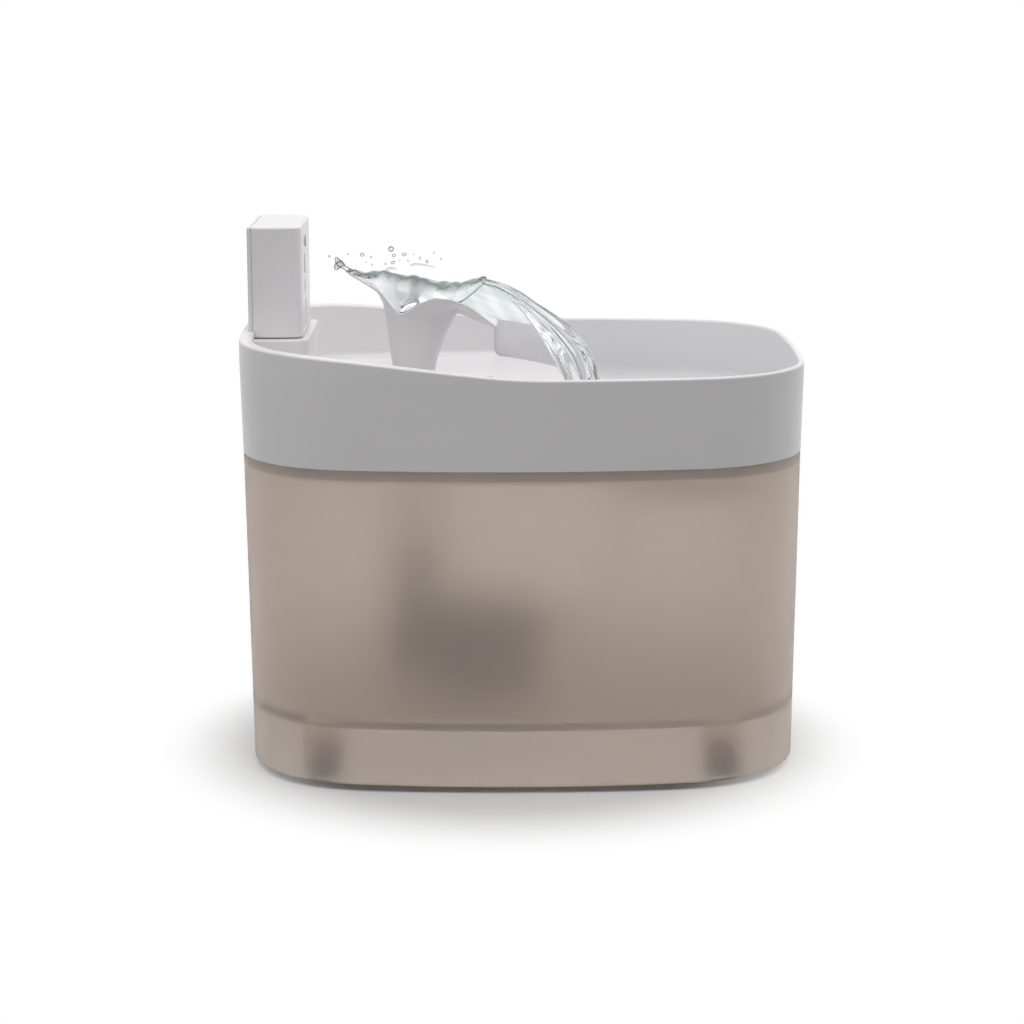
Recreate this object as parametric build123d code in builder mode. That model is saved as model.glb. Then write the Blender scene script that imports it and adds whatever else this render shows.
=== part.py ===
from build123d import *
import math
import os

# Pet water fountain. Millimetres, +X right, +Y back, +Z up.
# Origin: middle of the footprint, on the surface that the fountain stands on.

# ---- Overall shape: four shallow arcs with rounded corners, tapering a little downwards
WIDTH = 240.0
DEPTH = 200.0
FRONT_BOW = 13.5          # how far the front and back arcs fall back at the corners
SIDE_BOW = 5.0            # the same for the two sides
CORNER_R = 55.0
TANK_BOTTOM = 2.5
TANK_FLOOR = 28.8         # top of the tank's raised floor
TANK_TOP = 135.5
RIM = 173.0               # tray rim over the bowl
RIM_HIGH = 183.0          # tray rim beside the control unit
INSET_TANK_BOTTOM = 3.0   # how far each level stands in from the rim's outline
INSET_TANK_TOP = 1.0
INSET_TRAY_BOTTOM = 0.9

# ---- Walls and fits
TANK_WALL = 2.4
TRAY_WALL = 2.4
FLOOR_T = 2.5
FIT_GAP = 0.4             # between loose parts
RUNNING_GAP = 0.05        # round parts that slide or turn in each other
PAST = 1.0                # how far a cut runs past what it cuts
TANK_FLOOR_FILLET = 4.0
TANK_FOOT_FILLET = 1.4

# ---- Feet
FOOT_X = 84.0
FOOT_Y = 68.0
FOOT_R = 7.5
FOOT_H = 10.0
FOOT_BOSS_R = 8.5
FOOT_STEM_R = 3.0
FOOT_STEM_TOP = 17.0
FOOT_CHAMFER = 1.0
FOOT_TAPER = 0.6

# ---- Tray
SKIRT_H = 6.0             # depth that the tray reaches into the tank
SKIRT_T = 2.0
LEDGE_Z = 135.6           # the outer wall's foot, standing on the tank's edge
RAMP_START = -2.3         # the rim is level from here to the right
RAMP_KNEE = (-80.0, 181.3)  # and rises less steeply from here to the left
RAMP_RADII = (300.0, 600.0)
RAMP_END = -WIDTH / 2 - 2
RIM_FILLET = 1.0
DECK_Z = 156.0            # top of the deck that carries the spout
DECK_LINER = 3.0          # extra wall thickness beside the deck
DECK_CENTRE_X = -101.0    # the deck ends in an arc about this point
DECK_R = 129.9
DECK_FILLET = 3.0
BOWL_FLOOR = 138.5
BOWL_FILLET = 13.0
BOWL_CORNER_R = 2.0       # its two narrow corners
PLINTH_TOP = 179.5
PLINTH_RIGHT = -91.0
PLINTH_FRONT = -29.0
PLINTH_BACK = 48.0
PLINTH_R = 7.0

# ---- Filter well under the bowl
WELL_X = 70.0
WELL_W = 48.0
WELL_D = 92.0
WELL_BOTTOM = 114.0
WELL_R = 9.0
WELL_WALL = 2.0
BASKET_WALL = 1.6
BASKET_GAP = 0.6          # around the basket in the well
BASKET_LIFT = 0.5         # between the basket and the well's floor
BASKET_SLOTS = 6
PAD_GAP = 0.3             # around the filter pads in the basket
GRANULES_H = 9.0
SPONGE_H = 9.0
GRID_RIM = 3.5            # how far the drain grid overlaps the well's edge
GRID_T = 2.4
GRID_BAR = 5.0            # the drain grid's middle and side bars, taken off half its width
SLOT_W = 2.6
SLOT_PITCH = 5.2

# ---- Spout and riser
SPOUT_X = -46.0
SPOUT_Y = -20.0
NOZZLE_R = 6.0
NOZZLE_BORE = 4.2
NOZZLE_TOP = 166.0
COLLAR_R = 7.4
COLLAR_BOTTOM = 141.0
RISER_R = 9.0
RISER_BOTTOM = 74.0
RISER_TOP = 152.0
OUTLET_TOP = 88.0
SPOUT_FOOT = DECK_Z + 0.2
SPOUT_WALL = 1.7
CUP_FLOOR = 184.0         # the cup narrows to the water passage below this height
SPOUT_FAR = 60.0          # reaches past the spout on every side
SPOUT_SKY = 220.0         # a height over the spout
LIP_W = 30.0              # drooping lip on the right of the funnel
LIP_LENGTH = 44.0
LIP_X = -28.0
# Sections of the funnel: height, middle in X, half-width in X, half-width in Y
FUNNEL = (
    (SPOUT_FOOT, SPOUT_X, 8.8, 8.8), (176.0, -45.2, 11.2, 11.2), (187.0, -43.0, 14.6, 13.8),
    (195.0, -41.6, 18.2, 16.6), (201.0, -41.5, 22.5, 19.0), (206.0, -42.0, 28.5, 20.6),
    (211.0, -42.5, 35.5, 21.6),
)
# Wavy upper edge, seen from the front: petal, scallop, crest, lip
PETAL_EDGE = (
    (-82.0, 209.5), (-75.0, 208.8), (-65.9, 206.0), (-57.5, 199.5), (-51.5, 192.6),
    (-47.0, 193.6), (-40.7, 196.7), (-34.4, 198.0), (-28.1, 197.3), (-21.8, 194.6),
    (-17.6, 191.3), (-13.4, 187.2), (-9.0, 183.4),
)
LIP_ABOVE = (
    (-38.0, 197.2), (-34.4, 197.6), (-28.1, 196.9), (-21.8, 194.2), (-17.6, 190.9),
    (-13.4, 186.8), (-10.4, 184.2),
)
LIP_BELOW = (
    (-11.8, 183.2), (-14.8, 185.4), (-19.2, 189.4), (-23.0, 192.2), (-28.6, 194.6),
    (-34.0, 195.2), (-38.0, 194.9),
)

# ---- Control unit
UNIT_LEFT = -116.8
UNIT_RIGHT = -93.7
UNIT_FRONT = -20.0
UNIT_BACK = 44.0
UNIT_BACK_RIGHT = 38.0    # the back edge slants, so the right side is shorter
UNIT_FRONT_BOW = 1.4
UNIT_FRONT_R = 3.5        # right front corner
UNIT_FRONT_LEFT_R = 1.2
UNIT_INSIDE_R = 0.3       # smallest corner radius inside
UNIT_BACK_R = 8.0
UNIT_BOTTOM = 179.9
UNIT_TOP = 227.2
UNIT_WALL = 1.8
UNIT_TOP_FILLET = 1.0
UNIT_FOOT_CHAMFER = 0.5
SIDE_COVER_T = 1.8
SEAM = 0.4                # width and depth of the groove where the side cover meets the shell
COVER_RIB_H = 2.0
COVER_RIB_T = 1.5
COVER_RIB_Y = 9.0
COVER_RIB_D = 41.0
COVER_RIB_W = 38.7
COVER_RIB_R = 3.0
FACE_Y = 5.0              # middle of the control strip on the right side
FACE_W = 16.0
FACE_LOW = 195.0
FACE_HIGH = 223.6
FACE_T = 0.8
FACE_R = 3.0
GROOVE_PITCH = 3.2
GROOVE_W = 1.4
GROOVE_H = 12.0
GROOVE_DEPTH = 0.7
BUTTON_Z = 219.1
BUTTON_R = 2.6
MODE_Z = 210.2
MODE_W = 10.0
MODE_H = 9.2
MODE_R = 1.5
MODE_GAP = 0.15
LENS_Z = 200.2
LENS_W = 10.0
LENS_H = 6.2
LENS_R = 1.2
LENS_DEPTH = 3.3          # from the wall's outside inwards
LENS_PROUD = 0.25
BUTTON_TRAVEL = 0.8
BUTTON_PROUD = 0.5
BUTTON_FLANGE = 0.9
BUTTON_EDGE_R = 0.45
FLANGE_RIM = 0.8
FLANGE_GAP = 0.15
BOARD_X = -102.3
BOARD_T = 1.6
BOARD_Y = 5.5
BOARD_Z = 204.0
BOARD_W = 33.0
BOARD_H = 38.0
BOARD_R = 1.0
BOARD_HOLE_R = 1.1
CHIP_T = 1.6
BOARD_PILLARS = ((-7.0, 188.5), (18.0, 188.5), (18.0, 219.5))
PILLAR_R = 2.4
SCREW_R = 0.9
SCREW_HEAD_R = 1.9
SCREW_HEAD_T = 1.3
SCREW_GRIP = 4.0          # thread length in the pillar
LED_W = 3.2
LED_H = 2.8
LED_R = 0.4
LED_T = 1.6
SWITCH_W = 6.0
SWITCH_T = 2.6
SWITCH_STEM_R = 1.7
JACK_X = -106.0
JACK_Z = 190.0
JACK_W = 9.0
JACK_R = 4.5
JACK_BORE = 2.8
JACK_PIN_R = 1.0
JACK_INNER_Y = 26.0
JACK_BLOCK = 7.0          # length of the square end
JACK_BARREL = 8.2         # length of the round end
JACK_DEPTH = 10.2
DOCK_X = -106.0
DOCK_Y = 10.0
DOCK_W = 9.0
DOCK_D = 24.0
DOCK_H = 4.4
DOCK_BLOCK = 3.0          # wall of the socket block around the dock
DOCK_BASE = 172.0         # underside of the socket block
DOCK_FLOOR_T = 2.4
DOCK_R = 1.5
CONTACT_R = 0.9
CONTACT_PITCH = 5.0
CONTACT_COUNT = 4

# ---- Pump, its axis along X
PUMP_Y = -20.0
PUMP_Z = 48.0
STRAINER_LEFT = -57.5
VOLUTE_LEFT = -52.0
MOTOR_LEFT = -38.4
MOTOR_RIGHT = 7.0
MOTOR_D = 40.0
MOTOR_BOTTOM = 32.0
MOTOR_TOP = 64.5
MOTOR_WALL = 1.8
MOTOR_R = 5.0
CAP_T = 2.5
CAP_RIB = 3.0             # depth that the back cap's rib reaches into the housing
CAP_RIB_T = 1.6
CUP_BOTTOM = 29.2
WELL_TUBE_IN = 7.4
WELL_TUBE_OUT = 8.6
WELL_TUBE_END = -9.0
WELL_TUBE_WALL = 1.6      # closed end of the rotor's well
MAGNET_R = 6.6
SLEEVE_R = 2.6
SHAFT_R = 1.5
SHAFT_LEFT = -51.2
SHAFT_RIGHT = -11.4
BUSH_T = 2.2
FRONT_BUSH_T = 2.4
MAGNET_LEFT = -34.0
MAGNET_RIGHT = -14.4
SLEEVE_LEFT = -48.6
SLEEVE_RIGHT = -13.6
IMPELLER_R = 10.4
IMPELLER_DISC = -41.6     # left face of the disc that carries the vanes
VANE_LEFT = -48.0
VANE_T = 1.2
VANES = 5
CHAMBER_R = 12.4
VOLUTE_R = 15.0
VOLUTE_WALL = 2.6
INTAKE_R = 6.0
FRONT_HUB_R = 3.2
FRONT_BUSH_R = 2.2
INTAKE_ARM_W = 1.4
INTAKE_ARM_T = 1.6
EDGE_R = 1.5              # outer edges of the cover and the strainer
O_RING_R = 0.78
O_RING_CENTRE_R = 13.3
O_RING_GROOVE = 1.6
O_RING_GAP = 0.9          # half the groove's width
STRAINER_WALL = 1.4
STRAINER_GRIP = 4.0       # overlap of the strainer on the volute
STRAINER_SLOTS = 6
STRAINER_SLOT = 17.0
STRAINER_SLOT_W = 1.6
STRAINER_PITCH = 3.6
STATOR_IN = 8.9
STATOR_YOKE = 12.0
STATOR_OUT = 14.0
STATOR_TEETH = 6
STATOR_LEFT = -30.0
STATOR_LENGTH = 15.0
TOOTH_W = 3.4
SHOE_W = 6.4
COIL_R = 10.97
COIL_T = 1.2
COIL_W = 5.4
COIL_OVERHANG = 1.2
TOOTH_OVERLAP = 0.6       # how far a tooth runs into the yoke
SHOE_T = 1.4
DRIVER_X = -6.0
DRIVER_T = 1.2
DRIVER_W = 30.0
DRIVER_H = 24.0
CUP_STEM_R = 3.0
CUP_RIM_R = 6.0
CUP_PLACES = ((-31.0, -32.0), (-31.0, -8.0), (-1.0, -32.0), (-1.0, -8.0))

# ---- Pump cable
CABLE_R = 1.6
GLAND_Z = 57.0
GLAND_HOLE_R = 3.0
GLAND_RIM_R = 3.6
GLAND_RIM_T = 1.2
GLAND_TIP_R = 2.4
GLAND_LENGTH = 6.0
GROMMET_R = 4.2
GROMMET_T = 3.0
CABLE_ROUTE = (
    (13.0, -20.0, 57.0), (22.0, -20.0, 57.5), (33.0, -19.5, 66.0), (40.5, -18.0, 82.0),
    (43.5, -15.0, 101.0), (38.0, -8.0, 118.0), (25.0, 1.0, 129.0), (6.0, 8.0, 137.0),
    (-18.0, 12.0, 142.5), (-44.0, 14.0, 146.0), (-70.0, 14.0, 146.5), (-91.0, 12.0, 148.0),
    (-102.5, 10.6, 154.0), (-106.0, 10.0, 163.0), (-106.0, 10.0, 171.9),
)

os.makedirs("parts", exist_ok=True)


def outline(height, inset):
    """The body's outline at one height, standing in from the rim's outline by inset."""
    half_x = WIDTH / 2 - inset
    half_y = DEPTH / 2 - inset
    corner_x = half_x - SIDE_BOW
    corner_y = half_y - FRONT_BOW
    with BuildSketch(Plane.XY.offset(height)) as shape:
        with BuildLine():
            ThreePointArc((-corner_x, -corner_y), (0, -half_y), (corner_x, -corner_y))
            ThreePointArc((corner_x, -corner_y), (half_x, 0), (corner_x, corner_y))
            ThreePointArc((corner_x, corner_y), (0, half_y), (-corner_x, corner_y))
            ThreePointArc((-corner_x, corner_y), (-half_x, 0), (-corner_x, -corner_y))
        make_face()
        fillet(shape.vertices(), radius=CORNER_R - inset)
    return shape.sketch


def write(piece, name):
    """Labels a finished piece and writes its STEP file."""
    piece.part.label = name
    export_step(piece.part, f"parts/{name}.step")


# ======================================================================= tank
foot_places = [(x, y) for x in (-FOOT_X, FOOT_X) for y in (-FOOT_Y, FOOT_Y)]
tank_slope = (INSET_TANK_BOTTOM - INSET_TANK_TOP) / (TANK_TOP - TANK_BOTTOM)


def tank_inset(height):
    """How far the tank's outside stands in at a height."""
    return INSET_TANK_BOTTOM - tank_slope * (height - TANK_BOTTOM)


with BuildPart() as reservoir:
    loft([outline(TANK_FLOOR, tank_inset(TANK_FLOOR) + TANK_WALL),
          outline(TANK_TOP + PAST, tank_inset(TANK_TOP + PAST) + TANK_WALL)], ruled=True)
    fillet(reservoir.edges().group_by(Axis.Z)[0], radius=TANK_FLOOR_FILLET)

with BuildPart() as tank:
    loft([outline(TANK_BOTTOM, INSET_TANK_BOTTOM), outline(TANK_TOP, INSET_TANK_TOP)], ruled=True)
    fillet(tank.edges().group_by(Axis.Z)[0], radius=TANK_FOOT_FILLET)
    add(reservoir.part, mode=Mode.SUBTRACT)
    # Hollow under the floor
    loft([outline(TANK_BOTTOM - PAST, tank_inset(TANK_BOTTOM - PAST) + TANK_WALL),
          outline(TANK_FLOOR - FLOOR_T, tank_inset(TANK_FLOOR - FLOOR_T) + TANK_WALL)],
         ruled=True, mode=Mode.SUBTRACT)
    with BuildSketch(Plane.XY.offset(FOOT_H)):
        with Locations(*foot_places):
            Circle(FOOT_BOSS_R)
    extrude(amount=TANK_FLOOR - FLOOR_T / 2 - FOOT_H)
    with BuildSketch(Plane.XY.offset(FOOT_H)):
        with Locations(*foot_places):
            Circle(FOOT_STEM_R)
    extrude(amount=FOOT_STEM_TOP - FOOT_H, mode=Mode.SUBTRACT)
write(tank, "tank")


# ======================================================================= feet
for number, (x, y) in enumerate(foot_places, start=1):
    with BuildPart() as foot:
        with BuildSketch(Plane.XZ):
            with BuildLine():
                Polyline((0, 0), (FOOT_R - FOOT_CHAMFER, 0), (FOOT_R, FOOT_CHAMFER),
                         (FOOT_R - FOOT_TAPER, FOOT_H), (FOOT_STEM_R, FOOT_H),
                         (FOOT_STEM_R, FOOT_STEM_TOP - FIT_GAP), (0, FOOT_STEM_TOP - FIT_GAP),
                         (0, 0))
            make_face()
        revolve(axis=Axis.Z)
    foot.part.position = (x, y, 0)
    write(foot, f"foot_{number}")


# ======================================================================= tray
def wall_inset(height):
    """How far the tray's outside stands in at a height."""
    share = max(0.0, (RIM - height) / (RIM - LEDGE_Z))
    return INSET_TRAY_BOTTOM * share


with BuildPart() as above_rim:
    with BuildSketch(Plane.XZ):
        with BuildLine():
            FilletPolyline((WIDTH, RIM), (RAMP_START, RIM), RAMP_KNEE, (RAMP_END, RIM_HIGH),
                           radius=RAMP_RADII)
            Polyline((RAMP_END, RIM_HIGH), (RAMP_END, 2 * RIM_HIGH), (WIDTH, 2 * RIM_HIGH),
                     (WIDTH, RIM))
        make_face()
    extrude(amount=DEPTH, both=True)

# Space over the deck, rounded where it meets the wall
with BuildPart() as pan_space:
    extrude(outline(DECK_Z, TRAY_WALL + DECK_LINER), amount=RIM_HIGH - DECK_Z + PAST)
    fillet(pan_space.edges().group_by(Axis.Z)[0], radius=DECK_FILLET)

with BuildPart() as deck:
    with BuildSketch(Plane.XY.offset(DECK_Z - FLOOR_T)):
        add(outline(0, TRAY_WALL / 2))
        with Locations((DECK_CENTRE_X, 0)):
            Circle(DECK_R, mode=Mode.INTERSECT)
    extrude(amount=RIM_HIGH - DECK_Z + FLOOR_T + PAST)

# Space of the bowl, rounded at the bottom and in its two narrow corners
with BuildPart() as bowl_space:
    with BuildSketch(Plane.XY.offset(BOWL_FLOOR)):
        add(outline(0, TRAY_WALL + wall_inset(DECK_Z)))
        with Locations((DECK_CENTRE_X, 0)):
            Circle(DECK_R, mode=Mode.SUBTRACT)
    extrude(amount=DECK_Z - BOWL_FLOOR)
    fillet(bowl_space.edges().group_by(Axis.Z)[0], radius=BOWL_FILLET)
    fillet(bowl_space.edges().filter_by(Axis.Z).group_by(Axis.X)[0], radius=BOWL_CORNER_R)

with BuildPart() as bowl:
    with BuildSketch(Plane.XY.offset(BOWL_FLOOR - FLOOR_T)):
        add(outline(0, TRAY_WALL / 2))
        with Locations((DECK_CENTRE_X, 0)):
            Circle(DECK_R - FLOOR_T, mode=Mode.SUBTRACT)
    extrude(amount=DECK_Z - BOWL_FLOOR + FLOOR_T)

# Skirt that centres the tray in the tank
skirt_out = tank_inset(TANK_TOP) + TANK_WALL + FIT_GAP
with BuildPart() as skirt:
    extrude(outline(LEDGE_Z - SKIRT_H, skirt_out), amount=SKIRT_H + FLOOR_T)
    extrude(outline(LEDGE_Z - SKIRT_H, skirt_out + SKIRT_T), amount=SKIRT_H + FLOOR_T,
            mode=Mode.SUBTRACT)


def dock_outline(gap):
    """The dock's plan in the plinth, grown by gap on every side."""
    with BuildSketch(Plane.XY.offset(PLINTH_TOP)) as shape:
        with Locations((DOCK_X, DOCK_Y)):
            RectangleRounded(DOCK_W + 2 * gap, DOCK_D + 2 * gap, DOCK_R + gap)
    return shape.sketch


def plinth_outline(height, inset):
    """The plinth's plan: a rounded block that runs into the tray's left wall."""
    width = PLINTH_RIGHT + WIDTH
    depth = PLINTH_BACK - PLINTH_FRONT
    with BuildSketch(Plane.XY.offset(height)) as shape:
        with Locations((PLINTH_RIGHT - width / 2, (PLINTH_BACK + PLINTH_FRONT) / 2)):
            RectangleRounded(width - 2 * inset, depth - 2 * inset, PLINTH_R - inset)
        add(outline(0, TRAY_WALL / 2 + inset), mode=Mode.INTERSECT)
    return shape.sketch


def well_outline(height, inset):
    """The filter well's plan, standing in from its inside by inset."""
    with BuildSketch(Plane.XY.offset(height)) as shape:
        with Locations((WELL_X, 0)):
            RectangleRounded(WELL_W - 2 * inset, WELL_D - 2 * inset, WELL_R - inset)
    return shape.sketch


def unit_outline(height, inset):
    """The control unit's plan: bowed front, slanted back, rounded corners."""
    left = UNIT_LEFT + inset
    right = UNIT_RIGHT - inset
    front = UNIT_FRONT + inset
    with BuildSketch(Plane.XY.offset(height)) as shape:
        with BuildLine():
            ThreePointArc((left, front + UNIT_FRONT_BOW), ((left + right) / 2, front),
                          (right, front + UNIT_FRONT_BOW))
            Polyline((right, front + UNIT_FRONT_BOW), (right, UNIT_BACK_RIGHT - inset),
                     (left, UNIT_BACK - inset), (left, front + UNIT_FRONT_BOW))
        make_face()
        fillet(shape.vertices().sort_by(Axis.Y)[-1], radius=UNIT_BACK_R - inset)
        fillet(shape.vertices().group_by(Axis.X)[-1].sort_by(Axis.Y)[-1],
               radius=UNIT_BACK_R - inset)
        front_left, front_right = shape.vertices().sort_by(Axis.Y)[:2].sort_by(Axis.X)
        fillet(front_right, radius=UNIT_FRONT_R - inset)
        fillet(front_left, radius=max(UNIT_FRONT_LEFT_R - inset, UNIT_INSIDE_R))
    return shape.sketch


def at_liner_end(edge):
    """Whether an edge lies on the arc in which the deck and the wall beside it end."""
    middle = edge.position_at(0.5)
    return abs(math.hypot(middle.X - DECK_CENTRE_X, middle.Y) - DECK_R) < RUNNING_GAP


slot_count = int((WELL_D - 2 * WELL_R) // (2 * SLOT_PITCH)) * 2

with BuildPart() as tray:
    loft([outline(LEDGE_Z, INSET_TRAY_BOTTOM), outline(RIM, 0)], ruled=True)
    extrude(outline(RIM, 0), amount=RIM_HIGH - RIM + PAST)
    loft([outline(LEDGE_Z - PAST, TRAY_WALL + INSET_TRAY_BOTTOM), outline(RIM, TRAY_WALL)],
         ruled=True, mode=Mode.SUBTRACT)
    extrude(outline(RIM, TRAY_WALL), amount=RIM_HIGH - RIM + 2 * PAST, mode=Mode.SUBTRACT)
    add(deck.part)
    add(bowl.part)
    add(skirt.part)
    add(pan_space.part, mode=Mode.SUBTRACT)
    add(bowl_space.part, mode=Mode.SUBTRACT)
    add(above_rim.part, mode=Mode.SUBTRACT)
    rim_faces = tray.faces().filter_by(lambda face: face.normal_at().Z > 0.9 and
                                       face.center().Z > RIM - 0.1)
    fillet(rim_faces.edges().filter_by(at_liner_end, reverse=True), radius=RIM_FILLET)
    # Plinth of the control unit, hollow from below
    extrude(plinth_outline(DECK_Z - FLOOR_T, 0), amount=PLINTH_TOP - DECK_Z + FLOOR_T)
    extrude(plinth_outline(DECK_Z - FLOOR_T - PAST, FLOOR_T),
            amount=PLINTH_TOP - DECK_Z + PAST, mode=Mode.SUBTRACT)
    extrude(dock_outline(DOCK_BLOCK), amount=-FLOOR_T - PAST, mode=Mode.SUBTRACT)
    # Seat that the control unit stands in, behind the raised rim
    extrude(unit_outline(PLINTH_TOP, -FIT_GAP), amount=RIM_HIGH - PLINTH_TOP + PAST,
            mode=Mode.SUBTRACT)
    # Filter well with drain slots in its floor
    extrude(well_outline(WELL_BOTTOM, -WELL_WALL), amount=BOWL_FLOOR - WELL_BOTTOM)
    extrude(well_outline(WELL_BOTTOM + WELL_WALL, 0), amount=BOWL_FLOOR - WELL_BOTTOM,
            mode=Mode.SUBTRACT)
    with BuildSketch(Plane.XY.offset(WELL_BOTTOM)):
        with Locations((WELL_X, 0)):
            with GridLocations(0, SLOT_PITCH, 1, slot_count):
                SlotOverall(WELL_W - 2 * WELL_R, SLOT_W)
    extrude(amount=WELL_WALL, mode=Mode.SUBTRACT)
    # Nozzle above the deck and collar under it
    with BuildSketch(Plane.XY.offset(COLLAR_BOTTOM)):
        with Locations((SPOUT_X, SPOUT_Y)):
            Circle(COLLAR_R)
    extrude(amount=DECK_Z - COLLAR_BOTTOM - FLOOR_T / 2)
    with BuildSketch(Plane.XY.offset(DECK_Z - FLOOR_T)):
        with Locations((SPOUT_X, SPOUT_Y)):
            Circle(NOZZLE_R)
    extrude(amount=NOZZLE_TOP - DECK_Z + FLOOR_T)
    with BuildSketch(Plane.XY.offset(COLLAR_BOTTOM)):
        with Locations((SPOUT_X, SPOUT_Y)):
            Circle(NOZZLE_BORE)
    extrude(amount=NOZZLE_TOP - COLLAR_BOTTOM, mode=Mode.SUBTRACT)
write(tray, "tray")

# ======================================================================= filter cassette
basket_bottom = WELL_BOTTOM + WELL_WALL + BASKET_LIFT
basket_floor = basket_bottom + BASKET_WALL
pad_inset = BASKET_GAP + BASKET_WALL + PAD_GAP

with BuildPart() as filter_basket:
    extrude(well_outline(basket_bottom, BASKET_GAP), amount=BOWL_FLOOR - basket_bottom)
    extrude(well_outline(basket_floor, BASKET_GAP + BASKET_WALL),
            amount=BOWL_FLOOR - basket_floor, mode=Mode.SUBTRACT)
    with BuildSketch(Plane.XY.offset(basket_bottom)):
        with Locations((WELL_X, 0)):
            with GridLocations(SLOT_PITCH, 0, BASKET_SLOTS, 1):
                SlotOverall(WELL_D - 2 * WELL_R, SLOT_W, rotation=90)
    extrude(amount=BASKET_WALL, mode=Mode.SUBTRACT)
write(filter_basket, "filter_basket")

with BuildPart() as filter_granules:
    extrude(well_outline(basket_floor, pad_inset), amount=GRANULES_H)
    fillet(filter_granules.edges().group_by(Axis.Z)[-1], radius=2.0)
write(filter_granules, "filter_granule_pouch")

with BuildPart() as filter_sponge:
    extrude(well_outline(basket_floor + GRANULES_H, pad_inset), amount=SPONGE_H)
    chamfer(filter_sponge.edges().group_by(Axis.Z)[-1], length=0.8)
write(filter_sponge, "filter_sponge")

with BuildPart() as drain_grid:
    extrude(well_outline(BOWL_FLOOR, -GRID_RIM), amount=GRID_T)
    fillet(drain_grid.edges().group_by(Axis.Z)[-1], radius=1.0)
    with BuildSketch(Plane.XY.offset(BOWL_FLOOR)):
        with Locations((WELL_X, 0)):
            with GridLocations(WELL_W / 2 - 1, SLOT_PITCH, 2, slot_count):
                SlotOverall(WELL_W / 2 - GRID_BAR, SLOT_W)
    extrude(amount=GRID_T, mode=Mode.SUBTRACT)
write(drain_grid, "drain_grid")

# ======================================================================= spout
def funnel_section(height, middle, half_x, half_y, inset):
    """One oval section of the funnel, drawn in by the wall's thickness."""
    with BuildSketch(Plane.XY.offset(height)) as shape:
        with Locations((middle, SPOUT_Y)):
            Ellipse(half_x - inset, half_y - inset)
    return shape.sketch


with BuildPart() as funnel_space:
    loft([funnel_section(*row, SPOUT_WALL) for row in FUNNEL if row[0] > CUP_FLOOR])
    # Passage from the nozzle up into the cup
    with BuildSketch(Plane.XY.offset(NOZZLE_TOP)):
        with Locations((SPOUT_X, SPOUT_Y)):
            Circle(NOZZLE_BORE)
    extrude(amount=FUNNEL[2][0] - NOZZLE_TOP + PAST)

# Everything above the wavy edge: petal on the left, scallop, crest, drooping lip on the right
with BuildPart() as above_petals:
    with BuildSketch(Plane.XZ):
        with BuildLine():
            Spline(*PETAL_EDGE)
            Polyline(PETAL_EDGE[-1], (0, PETAL_EDGE[-1][1]), (0, SPOUT_SKY),
                     (PETAL_EDGE[0][0], SPOUT_SKY), PETAL_EDGE[0])
        make_face()
    extrude(amount=SPOUT_FAR, both=True)

with BuildPart() as lip:
    with BuildSketch(Plane.XZ):
        with BuildLine():
            Spline(*LIP_ABOVE)
            Line(LIP_ABOVE[-1], LIP_BELOW[0])
            Spline(*LIP_BELOW)
            Line(LIP_BELOW[-1], LIP_ABOVE[0])
        make_face()
    extrude(amount=SPOUT_FAR, both=True)
    with BuildSketch(Plane.XY.offset(DECK_Z)):
        with Locations((LIP_X, SPOUT_Y)):
            SlotOverall(LIP_LENGTH, LIP_W)
    extrude(amount=SPOUT_SKY - DECK_Z, mode=Mode.INTERSECT)

with BuildPart() as spout:
    loft([funnel_section(*row, 0) for row in FUNNEL])
    add(lip.part)
    add(funnel_space.part, mode=Mode.SUBTRACT)
    add(above_petals.part, mode=Mode.SUBTRACT)
    # Socket that slides over the tray's nozzle
    with BuildSketch(Plane.XY.offset(SPOUT_FOOT)):
        with Locations((SPOUT_X, SPOUT_Y)):
            Circle(NOZZLE_R + RUNNING_GAP)
    extrude(amount=NOZZLE_TOP - SPOUT_FOOT + FIT_GAP, mode=Mode.SUBTRACT)
write(spout, "spout")


# ======================================================================= riser
with BuildPart() as riser_tube:
    with BuildSketch(Plane.XY.offset(RISER_BOTTOM)):
        with Locations((SPOUT_X, SPOUT_Y)):
            Circle(RISER_R)
            Circle(COLLAR_R, mode=Mode.SUBTRACT)
    extrude(amount=RISER_TOP - RISER_BOTTOM)
write(riser_tube, "riser_tube")


# ======================================================================= control unit
cover_plane_x = UNIT_LEFT + SIDE_COVER_T

with BuildPart() as unit_body:
    extrude(unit_outline(UNIT_BOTTOM, 0), amount=UNIT_TOP - UNIT_BOTTOM)
    fillet(unit_body.edges().group_by(Axis.Z)[-1], radius=UNIT_TOP_FILLET)
    chamfer(unit_body.edges().group_by(Axis.Z)[0], length=UNIT_FOOT_CHAMFER)

with BuildPart() as unit_space:
    extrude(unit_outline(UNIT_BOTTOM + UNIT_WALL, UNIT_WALL),
            amount=UNIT_TOP - UNIT_BOTTOM - 2 * UNIT_WALL)
    split(bisect_by=Plane.YZ.offset(cover_plane_x - 0.01), keep=Keep.TOP)

# Groove around the unit where the side cover meets the shell
with BuildPart() as seam_groove:
    extrude(unit_outline(UNIT_BOTTOM - PAST, -SEAM), amount=UNIT_TOP - UNIT_BOTTOM + 2 * PAST)
    extrude(unit_outline(UNIT_BOTTOM + SEAM, SEAM), amount=UNIT_TOP - UNIT_BOTTOM - 2 * SEAM,
            mode=Mode.SUBTRACT)
    split(bisect_by=Plane.YZ.offset(cover_plane_x - SEAM / 2), keep=Keep.TOP)
    split(bisect_by=Plane.YZ.offset(cover_plane_x + SEAM / 2), keep=Keep.BOTTOM)

face_mid_z = (FACE_LOW + FACE_HIGH) / 2
wall_plane = Plane.YZ.offset(UNIT_RIGHT)


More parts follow.
